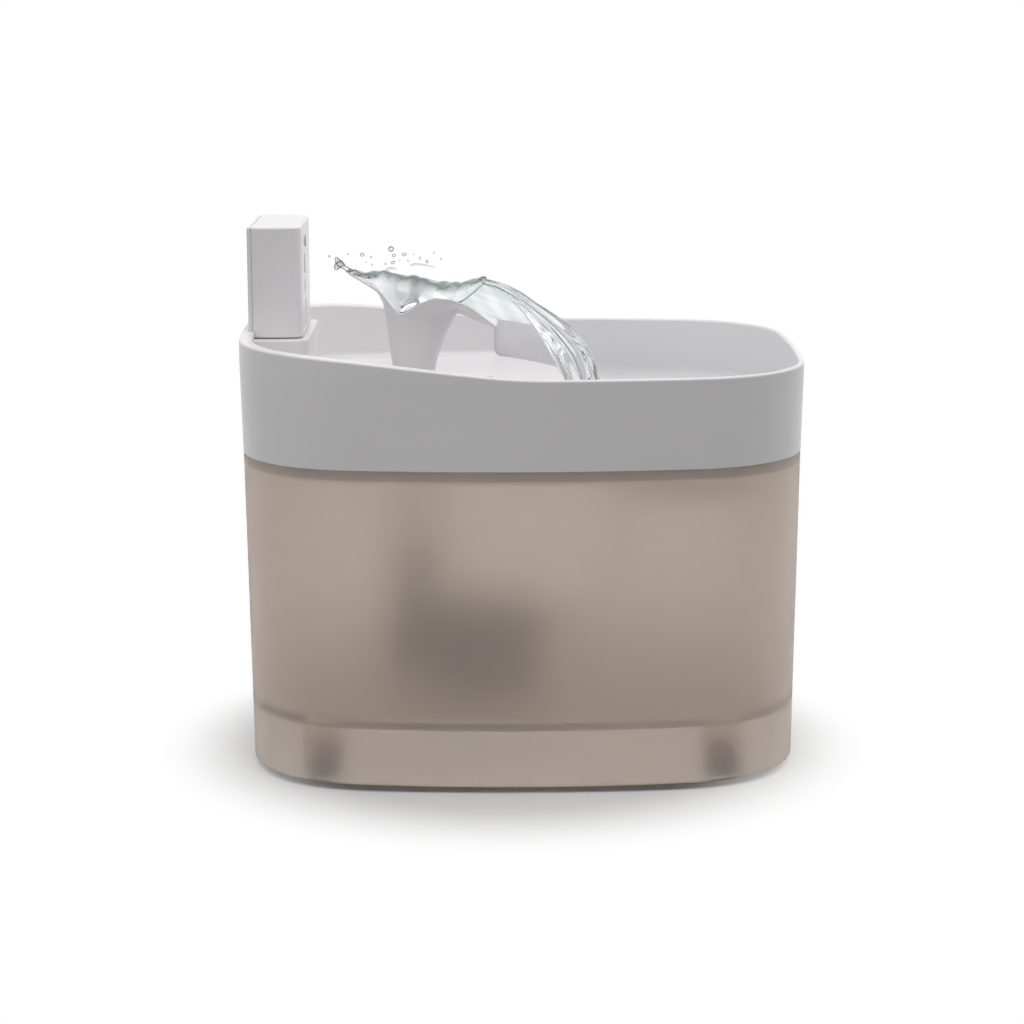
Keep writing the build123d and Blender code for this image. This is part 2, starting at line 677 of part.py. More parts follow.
def strip_openings():
    """The holes for the buttons and the lens, cut into the part that is being built."""
    with BuildSketch(wall_plane) as holes:
        with Locations((FACE_Y, BUTTON_Z)):
            Circle(BUTTON_R + RUNNING_GAP)
        with Locations((FACE_Y, MODE_Z)):
            RectangleRounded(MODE_W + 2 * MODE_GAP, MODE_H + 2 * MODE_GAP, MODE_R + MODE_GAP)
        with Locations((FACE_Y, LENS_Z)):
            RectangleRounded(LENS_W, LENS_H, LENS_R)
    extrude(holes.sketch, amount=-UNIT_WALL - PAST, mode=Mode.SUBTRACT)


with BuildPart() as unit_shell:
    add(unit_body.part)
    split(bisect_by=Plane.YZ.offset(cover_plane_x), keep=Keep.TOP)
    add(unit_space.part, mode=Mode.SUBTRACT)
    add(seam_groove.part, mode=Mode.SUBTRACT)
    # Recess of the control strip, and the holes through it
    with BuildSketch(wall_plane):
        with Locations((FACE_Y, face_mid_z)):
            RectangleRounded(FACE_W, FACE_HIGH - FACE_LOW, FACE_R)
    extrude(amount=-FACE_T, mode=Mode.SUBTRACT)
    strip_openings()
    # Vertical grooves under the strip
    with BuildSketch(wall_plane):
        with Locations((FACE_Y, (UNIT_BOTTOM + FACE_LOW) / 2 + UNIT_FOOT_CHAMFER)):
            with GridLocations(GROOVE_PITCH, 0, 4, 1):
                SlotOverall(GROOVE_H, GROOVE_W, rotation=90)
    extrude(amount=-GROOVE_DEPTH, mode=Mode.SUBTRACT)
    # Pillars that the circuit board is screwed to
    with BuildSketch(Plane.YZ.offset(BOARD_X + BOARD_T)):
        with Locations(*BOARD_PILLARS):
            Circle(PILLAR_R)
    extrude(amount=UNIT_RIGHT - UNIT_WALL / 2 - BOARD_X - BOARD_T)
    with BuildSketch(Plane.YZ.offset(BOARD_X + BOARD_T)):
        with Locations(*BOARD_PILLARS):
            Circle(SCREW_R)
    extrude(amount=SCREW_GRIP + FIT_GAP, mode=Mode.SUBTRACT)
    # Power inlet hole in the back
    with BuildSketch(Plane.XZ.offset(-UNIT_BACK - PAST)):
        with Locations((JACK_X, JACK_Z)):
            Circle(JACK_R + RUNNING_GAP)
    extrude(amount=UNIT_BACK - JACK_INNER_Y - JACK_BLOCK, mode=Mode.SUBTRACT)
    # Dock tongue under the floor
    with BuildSketch(Plane.XY.offset(UNIT_BOTTOM - DOCK_H)):
        with Locations((DOCK_X, DOCK_Y)):
            RectangleRounded(DOCK_W, DOCK_D, DOCK_R)
    extrude(amount=DOCK_H + UNIT_WALL / 2)
    chamfer(unit_shell.edges().group_by(Axis.Z)[0], length=UNIT_FOOT_CHAMFER)
write(unit_shell, "control_shell")

with BuildPart() as side_cover:
    add(unit_body.part)
    split(bisect_by=Plane.YZ.offset(cover_plane_x), keep=Keep.BOTTOM)
    add(seam_groove.part, mode=Mode.SUBTRACT)
    # Rib that locates the cover inside the shell
    with BuildSketch(Plane.YZ.offset(cover_plane_x)):
        with Locations((COVER_RIB_Y, (UNIT_BOTTOM + UNIT_TOP) / 2)):
            RectangleRounded(COVER_RIB_D, COVER_RIB_W, COVER_RIB_R)
            RectangleRounded(COVER_RIB_D - 2 * COVER_RIB_T, COVER_RIB_W - 2 * COVER_RIB_T,
                             COVER_RIB_R - COVER_RIB_T / 2, mode=Mode.SUBTRACT)
    extrude(amount=COVER_RIB_H)
write(side_cover, "control_side_cover")

with BuildPart() as control_face:
    with BuildSketch(Plane.YZ.offset(UNIT_RIGHT - FACE_T)):
        with Locations((FACE_Y, face_mid_z)):
            RectangleRounded(FACE_W, FACE_HIGH - FACE_LOW, FACE_R)
    extrude(amount=FACE_T)
    strip_openings()
write(control_face, "control_strip")

flange_right = UNIT_RIGHT - UNIT_WALL - FLANGE_GAP

with BuildPart() as power_button:
    with BuildSketch(Plane.YZ.offset(flange_right - BUTTON_FLANGE)):
        with Locations((FACE_Y, BUTTON_Z)):
            Circle(BUTTON_R + FLANGE_RIM)
    extrude(amount=BUTTON_FLANGE)
    with BuildSketch(Plane.YZ.offset(flange_right)):
        with Locations((FACE_Y, BUTTON_Z)):
            Circle(BUTTON_R)
    extrude(amount=UNIT_RIGHT + BUTTON_PROUD - flange_right)
    fillet(power_button.edges().group_by(Axis.X)[-1], radius=BUTTON_EDGE_R)
write(power_button, "power_button")

with BuildPart() as mode_button:
    with BuildSketch(Plane.YZ.offset(flange_right - BUTTON_FLANGE)):
        with Locations((FACE_Y, MODE_Z)):
            RectangleRounded(MODE_W + 2 * FLANGE_RIM, MODE_H + FLANGE_RIM, MODE_R)
    extrude(amount=BUTTON_FLANGE)
    with BuildSketch(Plane.YZ.offset(flange_right)):
        with Locations((FACE_Y, MODE_Z)):
            RectangleRounded(MODE_W, MODE_H, MODE_R)
    extrude(amount=UNIT_RIGHT + BUTTON_PROUD - flange_right)
    fillet(mode_button.edges().group_by(Axis.X)[-1], radius=BUTTON_EDGE_R)
write(mode_button, "mode_button")

with BuildPart() as status_lens:
    with BuildSketch(Plane.YZ.offset(UNIT_RIGHT - LENS_DEPTH)):
        with Locations((FACE_Y, LENS_Z)):
            RectangleRounded(LENS_W, LENS_H, LENS_R)
    extrude(amount=LENS_DEPTH + LENS_PROUD)
    fillet(status_lens.edges().group_by(Axis.X)[-1], radius=LENS_PROUD - RUNNING_GAP)
write(status_lens, "status_lens")

with BuildPart() as circuit_board:
    with BuildSketch(Plane.YZ.offset(BOARD_X)):
        with Locations((BOARD_Y, BOARD_Z)):
            RectangleRounded(BOARD_W, BOARD_H, BOARD_R)
        with Locations(*BOARD_PILLARS):
            Circle(BOARD_HOLE_R, mode=Mode.SUBTRACT)
    extrude(amount=BOARD_T)
    # Two chips and a capacitor on the side away from the controls
    with BuildSketch(Plane.YZ.offset(BOARD_X)):
        with Locations((BOARD_Y - 1.5, BOARD_Z + 2.0)):
            Rectangle(9.0, 7.0)
        with Locations((BOARD_Y + 8.5, BOARD_Z - 6.0)):
            Rectangle(5.0, 6.0)
        with Locations((BOARD_Y + 8.5, BOARD_Z + 5.0)):
            Circle(3.2)
    extrude(amount=-CHIP_T)
write(circuit_board, "circuit_board")

board_right = BOARD_X + BOARD_T
pressed_left = flange_right - BUTTON_FLANGE - BUTTON_TRAVEL   # back of a pressed button

with BuildPart() as tact_switches:
    with BuildSketch(Plane.YZ.offset(board_right)):
        with Locations((FACE_Y, BUTTON_Z), (FACE_Y, MODE_Z)):
            Rectangle(SWITCH_W, SWITCH_W)
    extrude(amount=SWITCH_T)
    with BuildSketch(Plane.YZ.offset(board_right + SWITCH_T)):
        with Locations((FACE_Y, BUTTON_Z), (FACE_Y, MODE_Z)):
            Circle(SWITCH_STEM_R)
    extrude(amount=pressed_left - RUNNING_GAP - board_right - SWITCH_T)
write(tact_switches, "tact_switches")

with BuildPart() as status_led:
    with BuildSketch(Plane.YZ.offset(board_right)):
        with Locations((FACE_Y, LENS_Z)):
            RectangleRounded(LED_W, LED_H, LED_R)
    extrude(amount=LED_T)
write(status_led, "status_led")

with BuildPart() as board_screws:
    with BuildSketch(Plane.YZ.offset(BOARD_X)):
        with Locations(*BOARD_PILLARS):
            Circle(SCREW_HEAD_R)
    extrude(amount=-SCREW_HEAD_T)
    with BuildSketch(Plane.YZ.offset(BOARD_X - SCREW_HEAD_T / 2)):
        with Locations(*BOARD_PILLARS):
            RegularPolygon(SCREW_R, 6)
    extrude(amount=-SCREW_HEAD_T, mode=Mode.SUBTRACT)
    with BuildSketch(Plane.YZ.offset(BOARD_X - SCREW_HEAD_T / 2)):
        with Locations(*BOARD_PILLARS):
            Circle(SCREW_R)
    extrude(amount=SCREW_HEAD_T / 2 + BOARD_T + SCREW_GRIP)
write(board_screws, "board_screws")

with BuildPart() as power_inlet:
    with BuildSketch(Plane.XZ.offset(-JACK_INNER_Y)):
        with Locations((JACK_X, JACK_Z)):
            Rectangle(JACK_W, JACK_W)
    extrude(amount=-JACK_BLOCK)
    with BuildSketch(Plane.XZ.offset(-JACK_INNER_Y - JACK_BLOCK)):
        with Locations((JACK_X, JACK_Z)):
            Circle(JACK_R)
    extrude(amount=-JACK_BARREL)
    with BuildSketch(Plane.XZ.offset(-JACK_INNER_Y - JACK_BLOCK - JACK_BARREL)):
        with Locations((JACK_X, JACK_Z)):
            Circle(JACK_BORE)
            Circle(JACK_PIN_R, mode=Mode.SUBTRACT)
    extrude(amount=JACK_DEPTH, mode=Mode.SUBTRACT)
write(power_inlet, "power_inlet")

# ======================================================================= dock in the plinth
with BuildPart() as dock_contacts:
    with BuildSketch(Plane.XY.offset(DOCK_BASE)):
        with Locations((DOCK_X, DOCK_Y)):
            with GridLocations(0, CONTACT_PITCH, 1, CONTACT_COUNT):
                Circle(CONTACT_R)
    extrude(amount=UNIT_BOTTOM - DOCK_H - 2 * RUNNING_GAP - DOCK_BASE)
    fillet(dock_contacts.edges().group_by(Axis.Z)[-1], radius=CONTACT_R / 2)

with BuildPart() as dock_socket:
    extrude(dock_outline(DOCK_BLOCK), amount=DOCK_BASE - PLINTH_TOP)
    extrude(dock_outline(FIT_GAP), amount=DOCK_BASE + DOCK_FLOOR_T - PLINTH_TOP,
            mode=Mode.SUBTRACT)
    add(dock_contacts.part, mode=Mode.SUBTRACT)
write(dock_socket, "dock_socket")
write(dock_contacts, "dock_contacts")

# ======================================================================= pump
pump_middle_z = (MOTOR_BOTTOM + MOTOR_TOP) / 2
pump_axis = Axis((0, PUMP_Y, PUMP_Z), (1, 0, 0))


def disc(left, right, *radii, mode=Mode.ADD):
    """A cylinder about the pump's axis, or a tube where two radii are given."""
    with BuildSketch(Plane.YZ.offset(left)) as shape:
        with Locations((PUMP_Y, PUMP_Z)):
            Circle(radii[0])
            if len(radii) > 1:
                Circle(radii[1], mode=Mode.SUBTRACT)
    return extrude(shape.sketch, amount=right - left, mode=mode)


def motor_box(left, right, inset, mode=Mode.ADD):
    """A rounded block with the motor housing's section."""
    with BuildSketch(Plane.YZ.offset(left)) as shape:
        with Locations((PUMP_Y, pump_middle_z)):
            RectangleRounded(MOTOR_D - 2 * inset, MOTOR_TOP - MOTOR_BOTTOM - 2 * inset,
                             MOTOR_R - inset)
    return extrude(shape.sketch, amount=right - left, mode=mode)


rotor_well_end = WELL_TUBE_END - WELL_TUBE_WALL
outlet_foot = PUMP_Z + CHAMBER_R / 2

with BuildPart() as pump_housing:
    motor_box(MOTOR_LEFT, MOTOR_RIGHT - CAP_T, 0)
    motor_box(MOTOR_LEFT + CAP_T, MOTOR_RIGHT, MOTOR_WALL, mode=Mode.SUBTRACT)
    disc(MOTOR_LEFT + CAP_T / 2, WELL_TUBE_END, WELL_TUBE_OUT)
    disc(MOTOR_LEFT - PAST, rotor_well_end, WELL_TUBE_IN, mode=Mode.SUBTRACT)
    # Groove for the O-ring
    disc(MOTOR_LEFT, MOTOR_LEFT + O_RING_GROOVE, O_RING_CENTRE_R + O_RING_GAP,
         O_RING_CENTRE_R - O_RING_GAP, mode=Mode.SUBTRACT)
write(pump_housing, "pump_housing")

cap_left = MOTOR_RIGHT - CAP_T

with BuildPart() as pump_back_cap:
    motor_box(cap_left, MOTOR_RIGHT, 0)
    fillet(pump_back_cap.edges().group_by(Axis.X)[-1], radius=CAP_T / 2)
    motor_box(cap_left - CAP_RIB, cap_left, MOTOR_WALL + 2 * RUNNING_GAP)
    motor_box(cap_left - CAP_RIB, cap_left, MOTOR_WALL + CAP_RIB_T, mode=Mode.SUBTRACT)
    with BuildSketch(Plane.YZ.offset(cap_left)):
        with Locations((PUMP_Y, GLAND_Z)):
            Circle(GLAND_HOLE_R)
    extrude(amount=CAP_T, mode=Mode.SUBTRACT)
write(pump_back_cap, "pump_back_cap")

with BuildPart() as cable_gland:
    with BuildSketch(Plane.XZ.offset(-PUMP_Y)):
        with BuildLine():
            Polyline((cap_left, GLAND_Z + CABLE_R), (cap_left, GLAND_Z + GLAND_HOLE_R),
                     (MOTOR_RIGHT, GLAND_Z + GLAND_HOLE_R), (MOTOR_RIGHT, GLAND_Z + GLAND_RIM_R),
                     (MOTOR_RIGHT + GLAND_RIM_T, GLAND_Z + GLAND_RIM_R),
                     (MOTOR_RIGHT + GLAND_LENGTH, GLAND_Z + GLAND_TIP_R),
                     (MOTOR_RIGHT + GLAND_LENGTH, GLAND_Z + CABLE_R),
                     (cap_left, GLAND_Z + CABLE_R))
        make_face()
    revolve(axis=Axis((0, PUMP_Y, GLAND_Z), (1, 0, 0)))
write(cable_gland, "cable_gland")

with BuildPart() as stator_core:
    with BuildSketch(Plane.YZ.offset(STATOR_LEFT)):
        with Locations((PUMP_Y, PUMP_Z)):
            Circle(STATOR_OUT)
            Circle(STATOR_YOKE, mode=Mode.SUBTRACT)
            with PolarLocations((STATOR_IN + STATOR_YOKE) / 2 + TOOTH_OVERLAP, STATOR_TEETH):
                Rectangle(STATOR_YOKE - STATOR_IN, TOOTH_W)
            with PolarLocations(STATOR_IN + SHOE_T / 2, STATOR_TEETH):
                Rectangle(SHOE_T, SHOE_W)
            Circle(STATOR_IN, mode=Mode.SUBTRACT)
    extrude(amount=STATOR_LENGTH)
write(stator_core, "stator_core")

with BuildPart() as stator_coils:
    with BuildSketch(Plane.YZ.offset(STATOR_LEFT - COIL_OVERHANG)):
        with Locations((PUMP_Y, PUMP_Z)):
            with PolarLocations(COIL_R, STATOR_TEETH):
                Rectangle(COIL_T, COIL_W)
    extrude(amount=STATOR_LENGTH + 2 * COIL_OVERHANG)
    with BuildSketch(Plane.YZ.offset(STATOR_LEFT)):
        with Locations((PUMP_Y, PUMP_Z)):
            with PolarLocations(COIL_R, STATOR_TEETH):
                Rectangle(2 * COIL_T, TOOTH_W)
    extrude(amount=STATOR_LENGTH, mode=Mode.SUBTRACT)
write(stator_coils, "stator_coils")

with BuildPart() as driver_board:
    with BuildSketch(Plane.YZ.offset(DRIVER_X)):
        with Locations((PUMP_Y, pump_middle_z)):
            RectangleRounded(DRIVER_W, DRIVER_H, BOARD_R)
    extrude(amount=DRIVER_T)
    with BuildSketch(Plane.YZ.offset(DRIVER_X + DRIVER_T)):
        with Locations((PUMP_Y - 6.0, pump_middle_z - 3.0), (PUMP_Y + 7.0, pump_middle_z - 4.0)):
            Rectangle(5.0, 4.0)
    extrude(amount=DRIVER_T)
write(driver_board, "driver_board")

with BuildPart() as rotor_magnet:
    disc(MAGNET_LEFT, MAGNET_RIGHT, MAGNET_R, SLEEVE_R)
write(rotor_magnet, "rotor_magnet")

with BuildPart() as impeller:
    disc(SLEEVE_LEFT, SLEEVE_RIGHT, SLEEVE_R)
    disc(IMPELLER_DISC, IMPELLER_DISC + 1, IMPELLER_R)
    with BuildSketch(Plane.YZ.offset(VANE_LEFT)):
        with Locations((PUMP_Y, PUMP_Z)):
            with PolarLocations(0, VANES):
                with Locations(((IMPELLER_R + SHAFT_R) / 2, 0)):
                    Rectangle(IMPELLER_R - SHAFT_R - FIT_GAP, VANE_T)
    extrude(amount=IMPELLER_DISC - VANE_LEFT + 0.1)
    disc(SLEEVE_LEFT, SLEEVE_RIGHT, SHAFT_R + RUNNING_GAP, mode=Mode.SUBTRACT)
write(impeller, "impeller")

with BuildPart() as rotor_shaft:
    disc(SHAFT_LEFT, SHAFT_RIGHT, SHAFT_R)
write(rotor_shaft, "rotor_shaft")

with BuildPart() as rear_bush:
    disc(rotor_well_end - BUSH_T, rotor_well_end, WELL_TUBE_IN)
    disc(rotor_well_end - BUSH_T, SHAFT_RIGHT, SHAFT_R, mode=Mode.SUBTRACT)
write(rear_bush, "rear_bush")

with BuildPart() as pump_cover:
    disc(VOLUTE_LEFT, MOTOR_LEFT, VOLUTE_R)
    fillet(pump_cover.edges().group_by(Axis.X)[0], radius=EDGE_R)
    # Outlet, upwards
    with BuildSketch(Plane.XY.offset(outlet_foot)):
        with Locations((SPOUT_X, SPOUT_Y)):
            Circle(COLLAR_R)
    extrude(amount=OUTLET_TOP - outlet_foot)
    disc(VOLUTE_LEFT + VOLUTE_WALL, MOTOR_LEFT, CHAMBER_R, mode=Mode.SUBTRACT)
    with BuildSketch(Plane.XY.offset(outlet_foot)):
        with Locations((SPOUT_X, SPOUT_Y)):
            Circle(NOZZLE_BORE)
    extrude(amount=OUTLET_TOP - outlet_foot, mode=Mode.SUBTRACT)
    # Intake, with three arms that hold the front bush
    disc(VOLUTE_LEFT, VOLUTE_LEFT + VOLUTE_WALL, INTAKE_R, mode=Mode.SUBTRACT)
    with BuildSketch(Plane.YZ.offset(VOLUTE_LEFT)):
        with Locations((PUMP_Y, PUMP_Z)):
            Circle(FRONT_HUB_R)
            with PolarLocations(0, 3):
                with Locations(((FRONT_HUB_R + INTAKE_R) / 2, 0)):
                    Rectangle(INTAKE_R - FRONT_BUSH_R, INTAKE_ARM_W)
            Circle(FRONT_BUSH_R, mode=Mode.SUBTRACT)
    extrude(amount=INTAKE_ARM_T)
write(pump_cover, "pump_cover")

with BuildPart() as front_bush:
    disc(VOLUTE_LEFT, VOLUTE_LEFT + FRONT_BUSH_T, FRONT_BUSH_R)
    disc(SHAFT_LEFT, VOLUTE_LEFT + FRONT_BUSH_T, SHAFT_R, mode=Mode.SUBTRACT)
write(front_bush, "front_bush")

with BuildPart() as pump_o_ring:
    with BuildSketch(Plane.XY.offset(PUMP_Z)):
        with Locations((MOTOR_LEFT + O_RING_GROOVE / 2, PUMP_Y + O_RING_CENTRE_R)):
            Circle(O_RING_R)
    revolve(axis=pump_axis)
write(pump_o_ring, "pump_o_ring")

with BuildPart() as intake_strainer:
    disc(STRAINER_LEFT, VOLUTE_LEFT + STRAINER_GRIP, VOLUTE_R + STRAINER_WALL)
    fillet(intake_strainer.edges().group_by(Axis.X)[0], radius=EDGE_R)
    disc(STRAINER_LEFT + STRAINER_WALL, VOLUTE_LEFT + STRAINER_GRIP, VOLUTE_R,
         mode=Mode.SUBTRACT)
    with BuildSketch(Plane.YZ.offset(STRAINER_LEFT)):
        with Locations((PUMP_Y, PUMP_Z)):
            with GridLocations(0, STRAINER_PITCH, 1, STRAINER_SLOTS):
                SlotOverall(STRAINER_SLOT, STRAINER_SLOT_W)
    extrude(amount=STRAINER_WALL, mode=Mode.SUBTRACT)
    # Room for the outlet
    with BuildSketch(Plane.XY.offset(PUMP_Z)):
        with Locations((SPOUT_X, SPOUT_Y)):
            Circle(COLLAR_R + FIT_GAP / 2)
    extrude(amount=2 * VOLUTE_R, mode=Mode.SUBTRACT)
write(intake_strainer, "intake_strainer")

with BuildPart() as intake_foam:
    disc(STRAINER_LEFT + STRAINER_WALL, VOLUTE_LEFT, VOLUTE_R - FIT_GAP)
    with BuildSketch(Plane.XY.offset(PUMP_Z)):
        with Locations((SPOUT_X, SPOUT_Y)):
            Circle(COLLAR_R + FIT_GAP / 2)
    extrude(amount=VOLUTE_R, mode=Mode.SUBTRACT)
write(intake_foam, "intake_foam")

with BuildPart() as suction_cups:
    with BuildSketch(Plane.XZ):
        with BuildLine():
            Polyline((0, MOTOR_BOTTOM), (CUP_STEM_R, MOTOR_BOTTOM),
                     (CUP_STEM_R, MOTOR_BOTTOM - 1.1), (CUP_RIM_R, CUP_BOTTOM + 0.5),
                     (CUP_RIM_R, CUP_BOTTOM), (CUP_RIM_R - 0.8, CUP_BOTTOM),
                     (CUP_STEM_R - 0.8, CUP_BOTTOM + 1.1), (0, CUP_BOTTOM + 1.3),
                     (0, MOTOR_BOTTOM))
        make_face()
    one_cup = revolve(axis=Axis.Z, mode=Mode.PRIVATE)
    with Locations(*CUP_PLACES):
        add(one_cup)
write(suction_cups, "suction_cups")


# ======================================================================= pump cable
def bend_radii(route):
    """The largest bend that the two runs at each corner leave room for."""
    points = [Vector(*point) for point in route]
    radii = []
    for before, corner, after in zip(points, points[1:], points[2:]):
        turn = math.radians((corner - before).get_angle(after - corner))
        shorter = min((corner - before).length, (after - corner).length)
        radii.append(0.45 * shorter / math.tan(turn / 2))
    return radii


cable_radii = bend_radii(CABLE_ROUTE)
print("pump cable bends (mm):", [round(radius, 1) for radius in cable_radii])

with BuildPart() as pump_cable:
    with BuildLine() as cable_path:
        Line((cap_left, PUMP_Y, GLAND_Z), CABLE_ROUTE[0])
        FilletPolyline(*CABLE_ROUTE, radius=cable_radii)
    with BuildSketch(Plane(origin=cable_path.line @ 0, z_dir=cable_path.line % 0)):
        Circle(CABLE_R)
    sweep()
cable_length = cable_path.wires()[0].length
print("pump cable length (mm):", round(cable_length, 1), "volume / (section x length):",
      round(pump_cable.part.volume / (math.pi * CABLE_R ** 2 * cable_length), 4))
write(pump_cable, "pump_cable")

with BuildPart() as cable_grommet:
    with BuildSketch(Plane.XY.offset(DOCK_BASE - GROMMET_T)):
        with Locations((DOCK_X, DOCK_Y)):
            Circle(GROMMET_R)
            Circle(CABLE_R, mode=Mode.SUBTRACT)
    extrude(amount=GROMMET_T)
write(cable_grommet, "cable_grommet")
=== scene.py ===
import math

import bmesh
import bpy
from mathutils import Matrix, Vector


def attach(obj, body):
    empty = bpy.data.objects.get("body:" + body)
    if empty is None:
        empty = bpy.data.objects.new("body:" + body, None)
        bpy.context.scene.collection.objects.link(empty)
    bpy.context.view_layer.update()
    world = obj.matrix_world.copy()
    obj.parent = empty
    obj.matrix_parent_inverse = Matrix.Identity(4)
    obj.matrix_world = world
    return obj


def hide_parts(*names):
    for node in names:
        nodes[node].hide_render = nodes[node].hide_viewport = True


# Pet water fountain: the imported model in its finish, a modelled flower spout and running water.
# Metres, +X right, +Y back, +Z up. MM turns the construction's millimetres into metres.
# The water is what the fountain holds in use; it is on the bodies that carry it.

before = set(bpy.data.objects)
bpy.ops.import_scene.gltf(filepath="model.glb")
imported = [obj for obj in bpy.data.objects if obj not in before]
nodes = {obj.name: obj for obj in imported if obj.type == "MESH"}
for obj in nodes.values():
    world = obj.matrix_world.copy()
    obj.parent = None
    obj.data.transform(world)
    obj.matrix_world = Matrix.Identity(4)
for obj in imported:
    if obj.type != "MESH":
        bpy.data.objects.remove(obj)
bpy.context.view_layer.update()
MM = 0.001

# ---- Camera, with its turns in radians
IMAGE = 1024                           # width in pixels of the picture that FOCAL_PX is meant for
FOCAL_PX = 2765.1
SENSOR_MM = 36.0
CAMERA_PLACE = (-0.01016, -1.1958, 0.3382)
CAMERA_PITCH = 0.197                   # downwards
CAMERA_YAW = -0.005
CAMERA_ROLL = -0.0035

# ---- Light, with power in watts
LAMPS = {
    "key_light": {"place": (0.05, -0.12, 1.30), "size": 1.20, "power": 9.0, "aim": (0.0, 0.0, 0.10)},
    "fill_light": {"place": (-1.45, -1.00, 0.85), "size": 1.20, "power": 4.4, "aim": (0.0, 0.0, 0.10)},
    "side_light": {"place": (1.32, 0.28, 0.90), "size": 1.00, "power": 4.2, "aim": (0.0, 0.0, 0.15)},
}
WORLD_LEVEL = 0.41                     # strength of the world's light on the object
FLOOR_SIZE = 12.0
FLOOR_LIT = 0.22                       # floor colour that the object is lit by
# Near the object the floor is darker: a painted shadow of grey paper, lit by the lamps and holding their
# real shadow, that fades into a white glow away from it
FLOOR_SEEN = 0.745                     # floor colour that is seen near the object
FLOOR_GLOW = 0.01                      # light added to it there for the camera
FLOOR_THROUGH = 0.28                   # the same for rays through glass and off gloss
FLOOR_MIDDLE = (-0.004, -0.015, 0.0)   # middle of the shadow
FLOOR_REACH = (0.088, 0.092, 1.0)      # reach of the shadow along the object and towards the front
FLOOR_FADE = (1.05, 1.80)              # shares of it over which the floor fades to plain white
FLOOR_ROUGHNESS = 0.9
FOOTPRINT = (0.1150, 0.0950, 1.0)      # half of the tank's size on the floor
# Painted shadow on the floor under the tank, which the camera alone sees
UNDER_PAINTED_SHADOW = 0.42                     # share of the floor's colour left in the low gap under the tank
UNDER_PAINTED_SHADOW_EDGE = (0.90, 1.06)              # where that ends: sums of fourth powers of the shares of FOOTPRINT

# ---- Finishes: noise scales are per metre, and heights are in metres
PLASTIC_CLOUD = 14.0                   # broad mottling
PLASTIC_GLOSS = 90.0                   # patches of more and less gloss
PLASTIC_UNEVEN = 0.05                  # how far their roughness varies
PLASTIC_IOR = 1.49
FROST_CLOUD = 9.0
FROST_SHIFT = 0.012                    # how far the mottling varies the colour
FROST_GLOSS = 60.0
FROST_UNEVEN = 0.03
FROST_GRAIN = 900.0
FROST_GRAIN_HEIGHT = 0.00002
FROST_IOR = 1.35
WATER_TINT = (0.95, 0.975, 0.98)       # colour where the surface doesn't turn away
WATER_FACING = 0.42                    # how early the surface counts as turning away
WATER_RIPPLES = 160.0
WATER_RIPPLE_DETAIL = 2.0
WATER_RIPPLE_HEIGHT = 0.00008
WATER_ROUGHNESS = 0.02
WATER_CLEAR = 0.94                     # share of the light that goes through
WATER_IOR = 1.33
STREAK_SIZE = (0.030, 0.030, 0.0022)   # in metres
STREAK_TILT = (0.0, 0.42, 0.0)         # in radians
STREAK_SHADE = 0.90                    # colour of the darkest streak, as a share of the palest
STREAK_COVER = 0.15                    # how far the cover varies from streak to streak
FILM_ROUGHNESS = 0.08
METAL_SHADE = 0.88                     # colour of the darkest patches, as a share of the palest
METAL_UNEVEN = 0.06
# Painted shade in the pores and gaps of foam and grains
PORE_SHADE = 0.35                      # colour of a pore, as a share of the wall's
PORE_SPAN = (0.1, 0.5)                 # distances from a pore's middle over which it turns into wall
PORE_DEPTH = 0.0004
PORE_ROUGHNESS = 0.95

# ---- Tank: painted shade, its wall coloured darker above the lower edge of the tray's skirt, which stands behind it
SKIRT_LOW = 0.1313
PAINTED_BAND_EDGE = 0.0002                     # half of the height over which it turns darker
PAINTED_BAND_SHADE = 0.78                      # colour above that, as a share of the colour below it

# ---- Spout, in millimetres; y is measured from the spout's own plane of symmetry
SPOUT_X = -46.0                # middle of its stem
SPOUT_Y = -20.0                # place of that plane
SPOUT_SHIFT = Vector((0.0, SPOUT_Y, 0.0))
SPOUT_FOOT = 156.2             # height of its lower end
THROAT_X = -43.6               # middle of the throat, from which the flower opens
SPOUT_WALL = 1.7
EDGE_WALL = 0.9
WALL_THINS = (0.55, 0.95)      # shares of the way up over which the wall thins to EDGE_WALL
EDGE_ROUND = 0.4               # how far the rounded edge stands beyond the rim, as a share of EDGE_WALL
SPOUT_COLUMNS = 144            # points round the spout
SPOUT_ROWS = 40                # points from its foot to its rim
CUP_ROW = 21                   # row at which the cup's inside meets its floor
PASSAGE_RADIUS = 4.2
SOCKET_RADIUS = 6.05
SOCKET_TOP = 166.4
# Oval sections from the foot to the throat: middle, half-width in x, half-width in y, height
SPOUT_SECTIONS = (
    (SPOUT_X, 8.8, 8.8, SPOUT_FOOT), (SPOUT_X, 9.2, 9.2, 167.0), (-45.2, 11.5, 11.0, 177.5),
    (THROAT_X, 14.2, 13.0, 187.0),
)
# Half of the rim, from the middle of the lip over the crest and the scallop to the petal's tip
SPOUT_RIM = (
    (-10.6, 0.0, 186.0), (-10.7, 7.0, 185.9), (-11.3, 11.8, 185.5), (-15.5, 13.8, 189.0),
    (-22.0, 15.2, 193.9), (-29.5, 16.8, 197.3), (-36.5, 17.6, 198.2), (-43.5, 17.3, 195.6),
    (-51.0, 16.2, 191.4), (-56.2, 14.6, 196.0), (-60.2, 13.0, 200.7), (-66.0, 10.0, 204.0),
    (-71.2, 5.6, 206.4), (-73.6, 0.0, 207.3),
)
LIP_BLEND = (-34.0, -16.0)     # rim x over which a column turns into the lip
PETAL_BLEND = (52.0, 70.0)     # the same towards the petal, in -x
# The flare between throat and rim: shares of the way out and up, and what lip and petal change
FLARE = (
    {"out": 0.22, "lip_out": -0.05, "petal_out": -0.12, "up": 0.42, "lip_rise": 4.4},
    {"out": 0.60, "lip_out": -0.02, "petal_out": -0.20, "up": 0.75, "lip_rise": 2.3},
)
